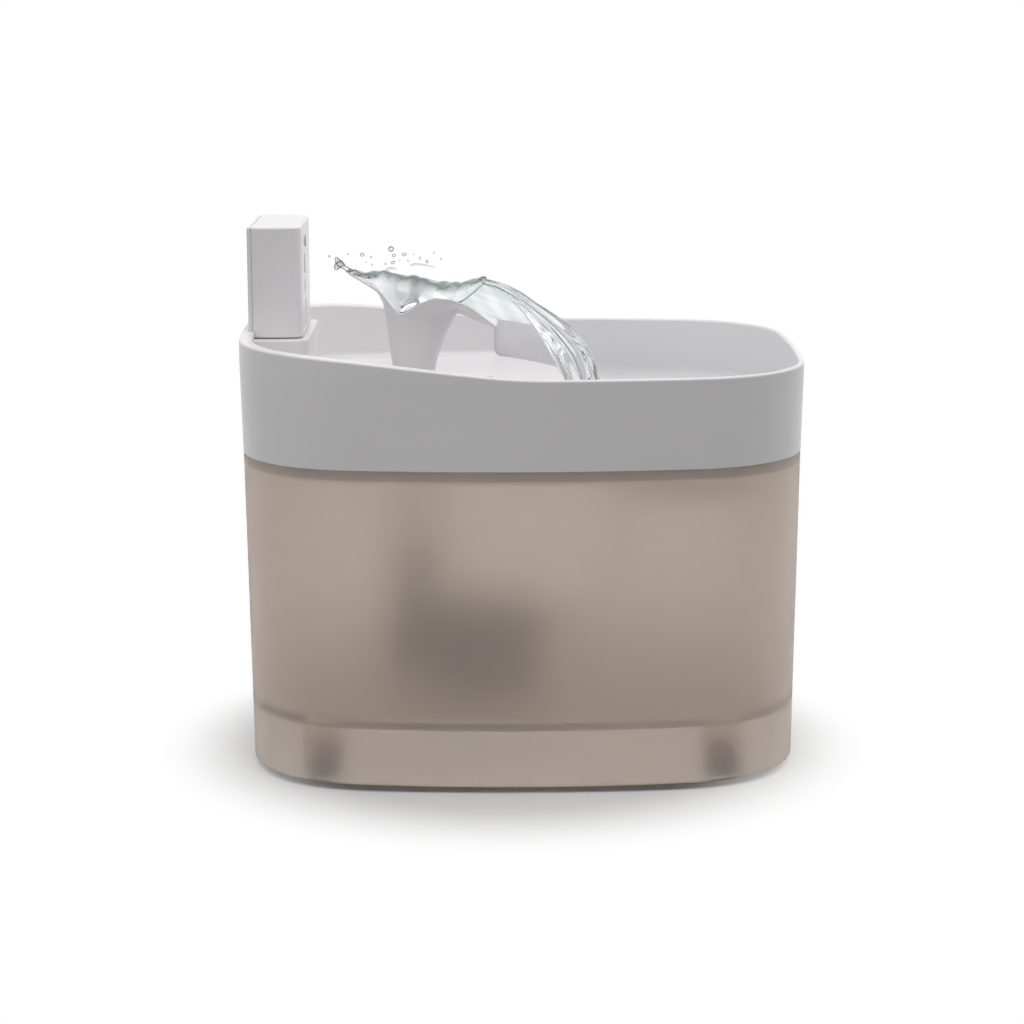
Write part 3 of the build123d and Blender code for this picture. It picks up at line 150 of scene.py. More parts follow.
# Inside of the spout from the cup's floor through the passage and the socket: middle, radius, height
SPOUT_CORE = (
    (-43.8, 9.5, 185.8), (-45.5, 4.8, 184.2), (SPOUT_X, PASSAGE_RADIUS, 182.0),
    (SPOUT_X, PASSAGE_RADIUS, SOCKET_TOP), (SPOUT_X, SOCKET_RADIUS, SOCKET_TOP),
    (SPOUT_X, SOCKET_RADIUS, SPOUT_FOOT),
)

# ---- Water, in millimetres; y is measured from the spout's plane, except in the bowl
RING_POINTS = 96               # points round a section
WATER_STATIONS = 110           # sections along a piece
# Water heaped in the cup, along x: x, half-width, height at the rim, lowest and highest point
CUP_WATER = (
    (-74.6, 0.8, 208.3, 208.0, 208.8), (-72.0, 3.6, 207.6, 207.2, 209.0),
    (-66.5, 8.4, 205.8, 205.4, 208.4), (-61.0, 11.2, 202.4, 201.4, 208.2),
    (-56.0, 13.2, 196.8, 193.0, 208.1), (-51.0, 14.4, 191.8, 189.2, 207.1),
    (-44.0, 15.2, 195.6, 190.4, 205.7), (-37.0, 15.5, 197.9, 191.2, 204.5),
    (-32.0, 15.0, 198.0, 192.4, 203.2), (-27.0, 14.2, 197.2, 194.2, 203.2),
    (-23.5, 13.0, 198.4, 196.6, 204.3), (-20.0, 10.0, 200.6, 199.2, 205.2),
    (-17.0, 6.5, 202.8, 201.8, 205.6), (-14.8, 3.0, 204.3, 203.8, 205.4),
)
HEAP_POWERS = (0.88, 0.92)     # of an oval's width and height above the rim; less than 1 is fuller
SUNK_POWERS = (0.80, 0.85)     # the same below the rim
SUNK_NARROWS = 0.28            # share of its width that the water loses down to its lowest point
# Waves on the heap: height, radians per millimetre of x and of y, phase
HEAP_WAVES = ((0.45, 0.42, 0.15, 1.0), (0.20, 1.05, -0.3, 0.0))
# The thin sheet over the lip, along x: x, middle y, lower edge, upper edge
LIP_SHEET = (
    (-30.0, 2.0, 196.0, 198.6), (-25.0, 4.0, 193.4, 199.0), (-20.0, 6.0, 191.0, 200.6),
    (-15.0, 7.5, 188.6, 202.2), (-10.0, 8.0, 187.4, 200.4), (-5.0, 7.0, 186.6, 196.6),
    (0.0, 5.5, 185.6, 191.8), (4.6, 4.0, 184.4, 186.8),
)
SHEET_HALF = 0.45              # half of its thickness
SHEET_LEAN = 0.5               # how far it leans to the front per millimetre down from its upper edge
SHEET_WAVE = {"height": 0.25, "along": 0.8, "up": 0.5}   # the last two in radians per millimetre
# The stream: outer edge and inner edge as x and height, and half of its depth
STREAM = (
    ((-17.0, 205.6), (-17.4, 203.0), 4.0), ((-9.1, 203.2), (-10.4, 200.2), 5.6),
    ((-0.5, 199.3), (-4.8, 195.9), 6.0), ((8.0, 193.7), (0.7, 190.7), 6.0),
    ((16.5, 188.0), (5.8, 183.8), 5.8), ((23.0, 182.4), (10.1, 177.7), 5.6),
    ((29.4, 174.2), (14.4, 170.8), 5.4), ((32.4, 165.5), (17.8, 164.7), 5.2),
    ((33.8, 158.0), (21.0, 158.4), 5.2), ((35.0, 150.0), (24.8, 150.6), 5.4),
    ((36.8, 142.2), (27.0, 142.2), 6.4),
)
STREAM_SIZE = 0.90             # share of those edges that the stream has without its strands
# The strands: how many, their height as a share of those edges, half turns along the stream
STREAM_STRANDS = ((3, 0.120, 1.1), (7, 0.130, -1.6), (11, 0.075, 2.0))
STRANDS_GROW = (0.0, 0.12)     # shares of the stream's length over which the strands grow
# Threads of water in the air, the splash off the petal's tip first: x, y, height, radius
THREADS = (
    ((-70.0, 0.0, 208.0, 0.7), (-72.8, -0.8, 208.9, 0.8), (-75.2, -1.6, 210.3, 1.0),
     (-77.0, -2.0, 212.0, 1.4), (-78.2, -2.2, 213.5, 1.05), (-78.7, -2.2, 214.7, 0.5)),
    ((-75.4, -2.0, 211.6, 0.7), (-77.4, -2.3, 211.6, 1.45), (-78.4, -2.3, 210.5, 1.25),
     (-78.8, -2.2, 209.2, 0.6)),
    ((-47.0, -4.0, 211.2, 0.30), (-45.0, -4.2, 211.8, 0.38), (-41.5, -4.0, 211.5, 0.30),
     (-37.0, -3.6, 210.4, 0.18)),
    ((-57.5, -4.0, 209.5, 0.25), (-55.6, -4.2, 210.1, 0.42), (-53.0, -4.0, 209.8, 0.22)),
)
THREAD_STATIONS = 24
THREAD_POINTS = 20
THREAD_LEAST = 0.05            # least radius
THREAD_LUMPS = {"height": 0.12, "rate": 1.9}   # share of the radius, and radians from station to station
# Drops in the air: x, y, height, radius, stretch
DROPS = (
    (-55.2, -4.0, 218.3, 1.20, 1.00), (-67.5, -3.0, 215.8, 0.85, 1.15), (-54.0, -6.0, 215.7, 0.75, 1.10),
    (-63.7, -4.0, 214.9, 0.45, 1.20), (-49.7, -2.0, 215.7, 0.80, 1.25), (-73.5, -4.0, 216.2, 0.40, 1.00),
    (-81.5, -2.0, 215.0, 0.50, 1.10), (-43.0, -5.0, 214.4, 0.50, 1.30), (-40.0, -4.0, 212.9, 0.65, 0.90),
    (-37.0, -3.0, 216.5, 0.40, 1.60), (-34.1, -4.0, 213.9, 0.42, 1.10), (-54.5, -3.0, 212.4, 0.75, 1.30),
    (-57.6, -5.0, 212.0, 0.45, 1.00), (-48.1, -4.0, 213.2, 0.40, 1.40), (-63.4, -4.0, 211.6, 0.40, 1.00),
    (-66.0, -3.0, 212.6, 0.28, 1.00), (-51.5, -5.0, 213.6, 0.25, 1.00), (-45.6, -3.0, 215.9, 0.30, 1.30),
)
DROP_TURN = 0.7                # radians per millimetre of x, so that the drops lie at all angles
DROP_DIVISIONS = 3
POOL_TOP = 142.6
POOL_HEIGHTS = (139.2, 140.0, 141.2, POOL_TOP)   # heights at which its side follows the bowl's wall
POOL_MIDDLE = (104.0, 0.0)     # a point that sees the bowl's whole wall
POOL_GAP = 0.25                # gap between the water and the wall
POOL_POINTS = 180
POOL_RINGS = 60
LANDING = (33.5, SPOUT_Y)      # where the stream lands
RIPPLE = {"height": 0.55, "rate": 0.75, "reach": 26.0}   # the rate is in radians per millimetre
RIPPLE_RISES = (0.0, 0.08)     # shares of the way in from the wall over which the ripples rise


# ======================================================================= shader nodes
def new_material(name):
    """A material with its Principled shader, and the node tree to add texture to."""
    material = bpy.data.materials.new(name)
    material.use_nodes = True
    tree = material.node_tree
    return material, tree, tree.nodes["Principled BSDF"]


def feed(tree, value, socket):
    """Joins value to the socket if it comes from another node, and writes it there otherwise."""
    if isinstance(value, bpy.types.NodeSocket):
        tree.links.new(value, socket)
    else:
        socket.default_value = value


def place_on_object(tree):
    """The place in object space, which is the model's own frame, in metres."""
    return tree.nodes.new("ShaderNodeTexCoord").outputs["Object"]


def noise(tree, scale, detail=3.0):
    """A noise texture in object space."""
    texture = tree.nodes.new("ShaderNodeTexNoise")
    texture.inputs["Scale"].default_value = scale
    texture.inputs["Detail"].default_value = detail
    tree.links.new(place_on_object(tree), texture.inputs["Vector"])
    return texture.outputs["Fac"]


def ramp(tree, value, low, high, span=(0.35, 0.65)):
    """A colour that runs from low to high while value runs over span."""
    node = tree.nodes.new("ShaderNodeValToRGB")
    for element, place, colour in zip(node.color_ramp.elements, span, (low, high)):
        element.position = place
        element.color = (*colour, 1.0)
    tree.links.new(value, node.inputs["Fac"])
    return node.outputs["Color"]


def spread(tree, value, low, high, span=(0.0, 1.0), kind="LINEAR"):
    """A number that runs from low to high while value runs over span."""
    node = tree.nodes.new("ShaderNodeMapRange")
    node.interpolation_type = kind
    node.inputs["From Min"].default_value = span[0]
    node.inputs["From Max"].default_value = span[1]
    feed(tree, low, node.inputs["To Min"])
    feed(tree, high, node.inputs["To Max"])
    tree.links.new(value, node.inputs["Value"])
    return node.outputs["Result"]


def mixed(tree, share, first, second):
    """A colour that runs from first to second with share."""
    node = tree.nodes.new("ShaderNodeMix")
    node.data_type = "RGBA"
    tree.links.new(share, node.inputs["Factor"])
    feed(tree, first, node.inputs["A"])
    feed(tree, second, node.inputs["B"])
    return node.outputs["Result"]


def number_math(tree, operation, first, second):
    """The result of an operation on two numbers that come from other nodes."""
    node = tree.nodes.new("ShaderNodeMath")
    node.operation = operation
    tree.links.new(first, node.inputs[0])
    tree.links.new(second, node.inputs[1])
    return node.outputs[0]


def vector_math(tree, operation, first, second=None):
    """The result of a vector operation; second is a socket or a fixed vector."""
    node = tree.nodes.new("ShaderNodeVectorMath")
    node.operation = operation
    tree.links.new(first, node.inputs[0])
    if second is not None:
        feed(tree, second, node.inputs["Scale" if operation == "SCALE" else 1])
    return node.outputs["Value" if operation in ("LENGTH", "DOT_PRODUCT") else "Vector"]


def bump(tree, shader, value, height):
    """A bump of that height in metres on the shader's normal."""
    node = tree.nodes.new("ShaderNodeBump")
    node.inputs["Strength"].default_value = 1.0
    node.inputs["Distance"].default_value = height
    tree.links.new(value, node.inputs["Height"])
    tree.links.new(node.outputs["Normal"], shader.inputs["Normal"])


def uneven_gloss(tree, shader, value, roughness, shift):
    """Roughness that varies by shift either way with value."""
    tree.links.new(spread(tree, value, roughness - shift, roughness + shift), shader.inputs["Roughness"])


# ======================================================================= materials
def moulded(name, colour, roughness, grain=1800.0, grain_height=0.00001, shift=0.02):
    """Moulded plastic: mottling that varies the colour by shift, uneven gloss and a fine tool texture."""
    material, tree, shader = new_material(name)
    low = tuple(max(0.0, c - shift) for c in colour)
    high = tuple(min(1.0, c + shift) for c in colour)
    tree.links.new(ramp(tree, noise(tree, PLASTIC_CLOUD), low, high), shader.inputs["Base Color"])
    uneven_gloss(tree, shader, noise(tree, PLASTIC_GLOSS), roughness, PLASTIC_UNEVEN)
    bump(tree, shader, noise(tree, grain), grain_height)
    shader.inputs["IOR"].default_value = PLASTIC_IOR
    return material


def frosted(name, colour, roughness, clear, shaded_above=None):
    """Frosted translucent plastic that blurs what is behind it. Above the given height, in metres, it is
    coloured darker: painted shade for the light that something inside keeps off it."""
    material, tree, shader = new_material(name)
    low = tuple(c - FROST_SHIFT for c in colour)
    high = tuple(c + FROST_SHIFT for c in colour)
    surface = ramp(tree, noise(tree, FROST_CLOUD), low, high)
    # Painted shade: above that height the colour turns darker
    if shaded_above is not None:
        axes = tree.nodes.new("ShaderNodeSeparateXYZ")
        tree.links.new(place_on_object(tree), axes.inputs[0])
        above = spread(tree, axes.outputs["Z"], 0.0, 1.0, (shaded_above - PAINTED_BAND_EDGE, shaded_above + PAINTED_BAND_EDGE))
        surface = mixed(tree, above, surface, (*(c * PAINTED_BAND_SHADE for c in colour), 1.0))
    tree.links.new(surface, shader.inputs["Base Color"])
    uneven_gloss(tree, shader, noise(tree, FROST_GLOSS), roughness, FROST_UNEVEN)
    bump(tree, shader, noise(tree, FROST_GRAIN), FROST_GRAIN_HEIGHT)
    shader.inputs["Transmission Weight"].default_value = clear
    shader.inputs["IOR"].default_value = FROST_IOR
    return material


def water(name, edge, span):
    """Clear water, coloured towards edge where the surface turns away from the camera: painted shade at the
    water's rims, standing in for what refraction and reflection darken there. span says where that shade
    begins and where it is full."""
    material, tree, shader = new_material(name)
    weight = tree.nodes.new("ShaderNodeLayerWeight")
    weight.inputs["Blend"].default_value = WATER_FACING
    painted_edge_shade = ramp(tree, weight.outputs["Facing"], WATER_TINT, edge, span)
    tree.links.new(painted_edge_shade, shader.inputs["Base Color"])
    bump(tree, shader, noise(tree, WATER_RIPPLES, WATER_RIPPLE_DETAIL), WATER_RIPPLE_HEIGHT)
    shader.inputs["Roughness"].default_value = WATER_ROUGHNESS
    shader.inputs["Transmission Weight"].default_value = WATER_CLEAR
    shader.inputs["IOR"].default_value = WATER_IOR
    return material


def film(name, colour, cover):
    """A very thin sheet of running water: pale, streaked and partly see-through."""
    material, tree, shader = new_material(name)
    stretched = tree.nodes.new("ShaderNodeMapping")
    stretched.vector_type = "TEXTURE"
    stretched.inputs["Scale"].default_value = STREAK_SIZE
    stretched.inputs["Rotation"].default_value = STREAK_TILT
    streaks = tree.nodes.new("ShaderNodeTexNoise")
    streaks.inputs["Scale"].default_value = 1.0
    tree.links.new(place_on_object(tree), stretched.inputs["Vector"])
    tree.links.new(stretched.outputs["Vector"], streaks.inputs["Vector"])
    shade = tuple(c * STREAK_SHADE for c in colour)
    tree.links.new(ramp(tree, streaks.outputs["Fac"], shade, colour), shader.inputs["Base Color"])
    covered = spread(tree, streaks.outputs["Fac"], cover - STREAK_COVER, cover + STREAK_COVER)
    tree.links.new(covered, shader.inputs["Alpha"])
    shader.inputs["Roughness"].default_value = FILM_ROUGHNESS
    shader.inputs["IOR"].default_value = WATER_IOR
    return material


def metal(name, colour, roughness, patches=400.0):
    """Plain metal with fine uneven gloss."""
    material, tree, shader = new_material(name)
    cloud = noise(tree, patches)
    low = tuple(c * METAL_SHADE for c in colour)
    tree.links.new(ramp(tree, cloud, low, colour), shader.inputs["Base Color"])
    uneven_gloss(tree, shader, cloud, roughness, METAL_UNEVEN)
    shader.inputs["Metallic"].default_value = 1.0
    return material


def cellular(name, colour, pores):
    """Open-cell foam or packed grains: pores, so many to the metre, in a matte body, darkened with painted
    shade.
    """
    material, tree, shader = new_material(name)
    cells = tree.nodes.new("ShaderNodeTexVoronoi")
    cells.inputs["Scale"].default_value = pores
    tree.links.new(place_on_object(tree), cells.inputs["Vector"])
    dark = tuple(c * PORE_SHADE for c in colour)
    surface = ramp(tree, cells.outputs["Distance"], dark, colour, PORE_SPAN)
    tree.links.new(surface, shader.inputs["Base Color"])
    bump(tree, shader, cells.outputs["Distance"], PORE_DEPTH)
    shader.inputs["Roughness"].default_value = PORE_ROUGHNESS
    return material


# The number after the colour of a plastic or metal is its roughness
WHITE = moulded("white_plastic", (0.80, 0.785, 0.795), 0.30, shift=0.008)
# Painted shade: the spout is the same white plastic as the rest, coloured darker
SHADED_WHITE = moulded("white_plastic_painted_shade", (0.725, 0.71, 0.72), 0.34, shift=0.008)
# The tank's wall carries painted shade above the lower edge of the tray's skirt
TANK = frosted("tank_plastic", (0.83, 0.755, 0.70), 0.52, clear=0.80, shaded_above=SKIRT_LOW)
RUBBER = moulded("rubber_dark", (0.050, 0.050, 0.052), 0.72, grain=900.0, grain_height=0.00003, shift=0.006)
BLACK = moulded("pump_plastic", (0.068, 0.068, 0.070), 0.45, grain=1200.0, grain_height=0.00002, shift=0.006)
GREY = moulded("grey_plastic", (0.42, 0.42, 0.44), 0.38)
FOAM = cellular("filter_foam", (0.09, 0.10, 0.12), pores=700.0)
GRANULES = cellular("filter_granules", (0.72, 0.72, 0.70), pores=420.0)
TUBE = frosted("clear_tube", (0.93, 0.94, 0.94), 0.20, clear=0.90)
CONTACT = metal("metal_contact", (0.83, 0.62, 0.25), 0.25)
STEEL = metal("steel", (0.60, 0.60, 0.61), 0.35)
LAMINATION = metal("laminations", (0.34, 0.34, 0.36), 0.45)
COPPER = metal("copper_wire", (0.62, 0.28, 0.12), 0.32, patches=1500.0)
BOARD = moulded("board_green", (0.03, 0.16, 0.07), 0.35, grain=600.0, grain_height=0.00002)
MAGNET = moulded("magnet_ferrite", (0.05, 0.05, 0.055), 0.60)
CERAMIC = moulded("ceramic", (0.86, 0.85, 0.82), 0.15)
JACKET = moulded("cable_jacket", (0.60, 0.59, 0.58), 0.50)
LENS = frosted("lens_clear", (0.88, 0.90, 0.92), 0.25, clear=0.40)
# The edge colours are painted shade at the rims of the water: dark on the cup and stream, darkest on the
# spray, pale in the pool
WATER = water("water", edge=(0.02, 0.05, 0.055), span=(0.10, 0.62))
WATER_SPRAY = water("water_spray", edge=(0.012, 0.016, 0.016), span=(0.02, 0.42))
WATER_STILL = water("water_still", edge=(0.80, 0.88, 0.89), span=(0.30, 0.95))
WATER_FILM = film("water_film", (0.93, 0.96, 0.97), cover=0.62)

NODE_MATERIALS = {
    "tank": TANK, "tray": WHITE, "spout": SHADED_WHITE, "drain_grid": WHITE, "filter_basket": GREY,
    "filter_sponge": FOAM, "filter_granule_pouch": GRANULES, "riser_tube": TUBE,
    "control_shell": WHITE, "control_side_cover": WHITE, "control_strip": WHITE,
    "power_button": GREY, "mode_button": WHITE, "status_lens": LENS, "circuit_board": BOARD,
    "tact_switches": BLACK, "status_led": LENS, "board_screws": STEEL, "power_inlet": BLACK,
    "dock_socket": GREY, "dock_contacts": CONTACT, "pump_housing": BLACK, "pump_back_cap": BLACK,
    "cable_gland": RUBBER, "stator_core": LAMINATION, "stator_coils": COPPER, "driver_board": BOARD,
    "rotor_magnet": MAGNET, "impeller": GREY, "rotor_shaft": CERAMIC, "rear_bush": RUBBER,
    "front_bush": RUBBER, "pump_cover": BLACK, "pump_o_ring": RUBBER, "intake_strainer": BLACK,
    "intake_foam": FOAM, "suction_cups": RUBBER, "pump_cable": JACKET, "cable_grommet": RUBBER,
    "foot_1": RUBBER, "foot_2": RUBBER, "foot_3": RUBBER, "foot_4": RUBBER,
}
for name, piece in nodes.items():
    piece.data.materials.clear()
    piece.data.materials.append(NODE_MATERIALS[name])


# ======================================================================= shapes
def smooth_path(keys, count, closed=False):
    """Points along a smooth curve through keys, count of them (Catmull-Rom)."""
    spans = len(keys) if closed else len(keys) - 1
    points = []
    for step in range(count):
        place = spans * step / (count if closed else count - 1)
        first = min(int(place), spans - 1)
        share = place - first
        if closed:
            before, start, end, after = (keys[(first + shift) % spans] for shift in (-1, 0, 1, 2))
        else:
            start, end = keys[first], keys[first + 1]
            before = keys[first - 1] if first > 0 else 2 * start - end
            after = keys[first + 2] if first + 2 <= spans else 2 * end - start
        points.append(0.5 * (2 * start + (end - before) * share
                             + (2 * before - 5 * start + 4 * end - after) * share ** 2
                             + (3 * start - before - 3 * end + after) * share ** 3))
    return points


def ease(value, low, high):
    """0 below low, 1 above high, and a smooth step between them."""
    share = min(1.0, max(0.0, (value - low) / (high - low)))
    return share * share * (3 - 2 * share)


def angles_round(count):
    """Angles of count points evenly spaced round a circle."""
    return [math.tau * step / count for step in range(count)]


def new_piece(name, bm, body, material):
    """The piece that bm describes, with smooth shading, on its body."""
    for face in bm.faces:
        face.smooth = True
    mesh = bpy.data.meshes.new(name)
    bm.to_mesh(mesh)
    bm.free()
    mesh.materials.append(material)
    piece = bpy.data.objects.new(name, mesh)
    bpy.context.scene.collection.objects.link(piece)
    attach(piece, body)
    return piece


def skin(name, rings, body, material, joined=False):
    """A smooth piece over closed rings of points, in millimetres. joined runs the last ring into the
    first; otherwise both ends are closed."""
    count = len(rings[0])
    bm = bmesh.new()
    rows = [[bm.verts.new(point * MM) for point in ring] for ring in rings]
    pairs = list(zip(rows, rows[1:])) + ([(rows[-1], rows[0])] if joined else [])
    for lower, upper in pairs:
        for column in range(count):
            after = (column + 1) % count
            bm.faces.new((lower[column], lower[after], upper[after], upper[column]))
    if not joined:
        for row in (rows[0], rows[-1]):
            middle = bm.verts.new(sum((vertex.co for vertex in row), Vector()) / count)
            for column in range(count):
                bm.faces.new((row[column], row[(column + 1) % count], middle))
    bmesh.ops.recalc_face_normals(bm, faces=bm.faces)
    return new_piece(name, bm, body, material)


# ======================================================================= spout
def mirrored(half):
    """A closed ring of keys from one half of it, which runs from the lip to the petal's tip."""
    return [Vector(key) for key in half] + [Vector((x, -y, z)) for x, y, z in half[-2:0:-1]]


def oval(angle, middle, half_x, half_y, height):
    """A point of one of the spout's oval sections; y is measured from the spout's own plane."""
    return Vector((middle + half_x * math.cos(angle), half_y * math.sin(angle), height))


def spout_column(rim):
    """The outside of the spout from its foot up to one point of the rim, as a smooth curve."""
    angle = math.atan2(rim.y, rim.x - THROAT_X)
    keys = [oval(angle, *section) for section in SPOUT_SECTIONS]
    throat = keys[-1]
    lip = ease(rim.x, *LIP_BLEND)
    petal = ease(-rim.x, *PETAL_BLEND)
    for flare in FLARE:
        key = throat.lerp(rim, flare["out"] + lip * flare["lip_out"] + petal * flare["petal_out"])
        key.z = throat.z + (rim.z - throat.z) * flare["up"] + lip * flare["lip_rise"]
        keys.append(key)
    keys.append(rim)
    return smooth_path(keys, SPOUT_ROWS)


def inward(columns, index, row):
    """The direction from the spout's outside into its wall at one point of the grid."""
    around = columns[(index + 1) % len(columns)][row] - columns[index - 1][row]
    column = columns[index]
    along = column[min(row + 1, len(column) - 1)] - column[max(row - 1, 0)]
    return along.cross(around).normalized()


def spout_inside(columns):
    """Rings of the cup's inside, from the rim down to the cup's floor."""
    rings = []
    for row in range(SPOUT_ROWS - 1, CUP_ROW, -1):
        wall = SPOUT_WALL + (EDGE_WALL - SPOUT_WALL) * ease(row / (SPOUT_ROWS - 1), *WALL_THINS)
        rings.append([columns[index][row] + inward(columns, index, row) * wall
                      for index in range(len(columns))])
    return rings


def build_spout():
    """The flower-shaped spout: outside, rounded edge, cup, water passage and socket."""
    columns = [spout_column(rim) for rim in smooth_path(mirrored(SPOUT_RIM), SPOUT_COLUMNS, closed=True)]
    outside = [[column[row] for column in columns] for row in range(SPOUT_ROWS)]
    inside = spout_inside(columns)
    # The edge is rounded by a ring beyond the rim, between the outside and the inside
    edge = []
    for index, column in enumerate(columns):
        middle = (column[-1] + inside[0][index]) / 2
        edge.append(middle + (column[-1] - column[-2]).normalized() * EDGE_WALL * EDGE_ROUND)
    angles = [math.atan2(column[0].y, column[0].x - SPOUT_X) for column in columns]
    core = [[oval(angle, middle, radius, radius, height) for angle in angles]
            for middle, radius, height in SPOUT_CORE]
    rings = [[point + SPOUT_SHIFT for point in ring] for ring in outside + [edge] + inside + core]
    piece = skin("spout_flower", rings, "spout", SHADED_WHITE, joined=True)
    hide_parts("spout")


build_spout()


# ======================================================================= water
def watery(piece):
    """Water throws no dark shadow."""
    piece.visible_shadow = False


def heap_section(x, half_width, rim, low, high):
    """One closed section of the heaped water across the flow, around the height of the rim: rounded
    and wavy above it, and narrowing into the cup below it."""
    ring = []
    for angle in angles_round(RING_POINTS):
        side = math.cos(angle)
        rise = math.sin(angle)
        across, upright = HEAP_POWERS if rise > 0 else SUNK_POWERS
        y = half_width * math.copysign(abs(side) ** across, side)
        if rise > 0:
            z = rim + (high - rim) * rise ** upright
            z += rise * sum(height * math.sin(along_x * x + along_y * y + phase)
                            for height, along_x, along_y, phase in HEAP_WAVES)
        else:
            y *= 1.0 + SUNK_NARROWS * rise
            z = rim - (rim - low) * abs(rise) ** upright
        ring.append(Vector((x, y + SPOUT_Y, z)))
    return ring


def build_cup_water():
    """Water that wells up in the cup and heaps over the rim."""
    middles = [Vector((x, half_width, rim)) for x, half_width, rim, low, high in CUP_WATER]
    reaches = [Vector((low, high, 0.0)) for x, half_width, rim, low, high in CUP_WATER]
    rings = [heap_section(*middle, reach.x, reach.y)
             for middle, reach in zip(smooth_path(middles, WATER_STATIONS),
                                      smooth_path(reaches, WATER_STATIONS))]
    watery(skin("water_cup", rings, "spout", WATER))


def sheet_point(angle, key, edge):
    """A point of the sheet's thin section at key; edge holds the heights of its two edges."""
    height = (edge.x + edge.y) / 2 + (edge.y - edge.x) / 2 * math.sin(angle)
    lean = SHEET_LEAN * (edge.y - height)
    wave = SHEET_WAVE["height"] * math.sin(SHEET_WAVE["along"] * key.x + SHEET_WAVE["up"] * height)
    return Vector((key.x, SPOUT_Y + key.y - lean + SHEET_HALF * math.cos(angle) + wave, height))


def build_lip_sheet():
    """The thin sheet that runs over the lip under the stream."""
    keys = [Vector((x, y, 0.0)) for x, y, low, high in LIP_SHEET]
    edges = [Vector((low, high, 0.0)) for x, y, low, high in LIP_SHEET]
    rings = [[sheet_point(angle, key, edge) for angle in angles_round(RING_POINTS)]
             for key, edge in zip(smooth_path(keys, WATER_STATIONS), smooth_path(edges, WATER_STATIONS))]
    watery(skin("water_sheet", rings, "spout", WATER_FILM))


def build_stream():
    """The falling stream: a twisted bundle of strands."""
    outer = [Vector((out[0], 0.0, out[1])) for out, into, depth in STREAM]
    inner = [Vector((into[0], 0.0, into[1])) for out, into, depth in STREAM]
    depths = [Vector((0.0, depth, 0.0)) for out, into, depth in STREAM]
    paths = [smooth_path(keys, WATER_STATIONS) for keys in (outer, inner, depths)]
    rings = []
    for index, (out, into, depth) in enumerate(zip(*paths)):
        share = index / (WATER_STATIONS - 1)
        ring = []
        for angle in angles_round(RING_POINTS):
            strands = sum(height * math.cos(count * angle + half_turns * math.pi * share)
                          for count, height, half_turns in STREAM_STRANDS)
            size = STREAM_SIZE + strands * ease(share, *STRANDS_GROW)
            offset = (out - into) / 2 * math.cos(angle) + depth * math.sin(angle)
            ring.append((out + into) / 2 + SPOUT_SHIFT + offset * size)
        rings.append(ring)
    watery(skin("water_stream", rings, "spout", WATER))


def build_thread(name, keys):
    """A lumpy thread of water through keys of x, y, height and radius."""
    middles = smooth_path([Vector((x, y, z)) for x, y, z, radius in keys], THREAD_STATIONS)
    sizes = smooth_path([Vector((radius, 0.0, 0.0)) for x, y, z, radius in keys], THREAD_STATIONS)
    last = THREAD_STATIONS - 1
    rings = []
    for index, (middle, size) in enumerate(zip(middles, sizes)):
        along = (middles[min(index + 1, last)] - middles[max(index - 1, 0)]).normalized()
        side = along.cross(Vector((0.0, 1.0, 0.0))).normalized()
        up = along.cross(side)
        lump = THREAD_LUMPS["height"] * math.sin(THREAD_LUMPS["rate"] * index)
        radius = max(size.x, THREAD_LEAST) * (1.0 + lump)
        centre = middle + SPOUT_SHIFT
        rings.append([centre + (side * math.cos(angle) + up * math.sin(angle)) * radius
                      for angle in angles_round(THREAD_POINTS)])
    watery(skin(name, rings, "spout", WATER_SPRAY))


def build_drops():
    """Drops in the air above the spout, most of them a little out of round."""
    bm = bmesh.new()
    for x, y, z, radius, stretch in DROPS:
        place = Matrix.Translation(Vector((x, y + SPOUT_Y, z)) * MM)
        turn = Matrix.Rotation(DROP_TURN * x, 4, "Y")
        thin = 1.0 / stretch ** 0.5
        shape = place @ turn @ Matrix.Diagonal((stretch, thin, thin, 1.0))
        bmesh.ops.create_icosphere(bm, subdivisions=DROP_DIVISIONS, radius=radius * MM, matrix=shape)
    watery(new_piece("water_drops", bm, "spout", WATER_SPRAY))


def pool_edge(height):
    """The water's edge at one height in the bowl, found by rays from a point that sees all of it."""
    tray = nodes["tray"]
    into = tray.matrix_world.inverted()
    middle = Vector((*POOL_MIDDLE, height))
    start = middle * MM
    ring = []
    for angle in angles_round(POOL_POINTS):
        way = Vector((math.cos(angle), math.sin(angle), 0.0))
        hit, place = tray.ray_cast(into @ start, into.to_3x3() @ way)[:2]
        reach = (tray.matrix_world @ place - start).length / MM if hit else 0.0
        ring.append(middle + way * (reach - POOL_GAP))
    return ring


def ripple(place, share):
    """Height of the ripples at a place that is share of the way in from the pool's edge."""
    away = math.hypot(place.x - LANDING[0], place.y - LANDING[1])
    wave = RIPPLE["height"] * math.cos(away * RIPPLE["rate"]) * math.exp(-away / RIPPLE["reach"])
    return wave * ease(share, *RIPPLE_RISES)


def build_pool():
    """Water in the drinking bowl, with ripples around the place where the stream lands."""
    rings = [pool_edge(height) for height in POOL_HEIGHTS]
    edge = rings[-1]
    middle = Vector((*POOL_MIDDLE, POOL_TOP))
    for step in range(1, POOL_RINGS):
        share = 1.0 - step / POOL_RINGS
        flat = [middle + (point - middle) * share for point in edge]
        rings.append([place + Vector((0.0, 0.0, ripple(place, 1.0 - share))) for place in flat])
    watery(skin("water_pool", rings, "tray", WATER_STILL))


build_cup_water()
build_lip_sheet()
build_stream()
for number, keys in enumerate(THREADS, start=1):
    build_thread(f"water_thread_{number}", keys)
build_drops()
build_pool()


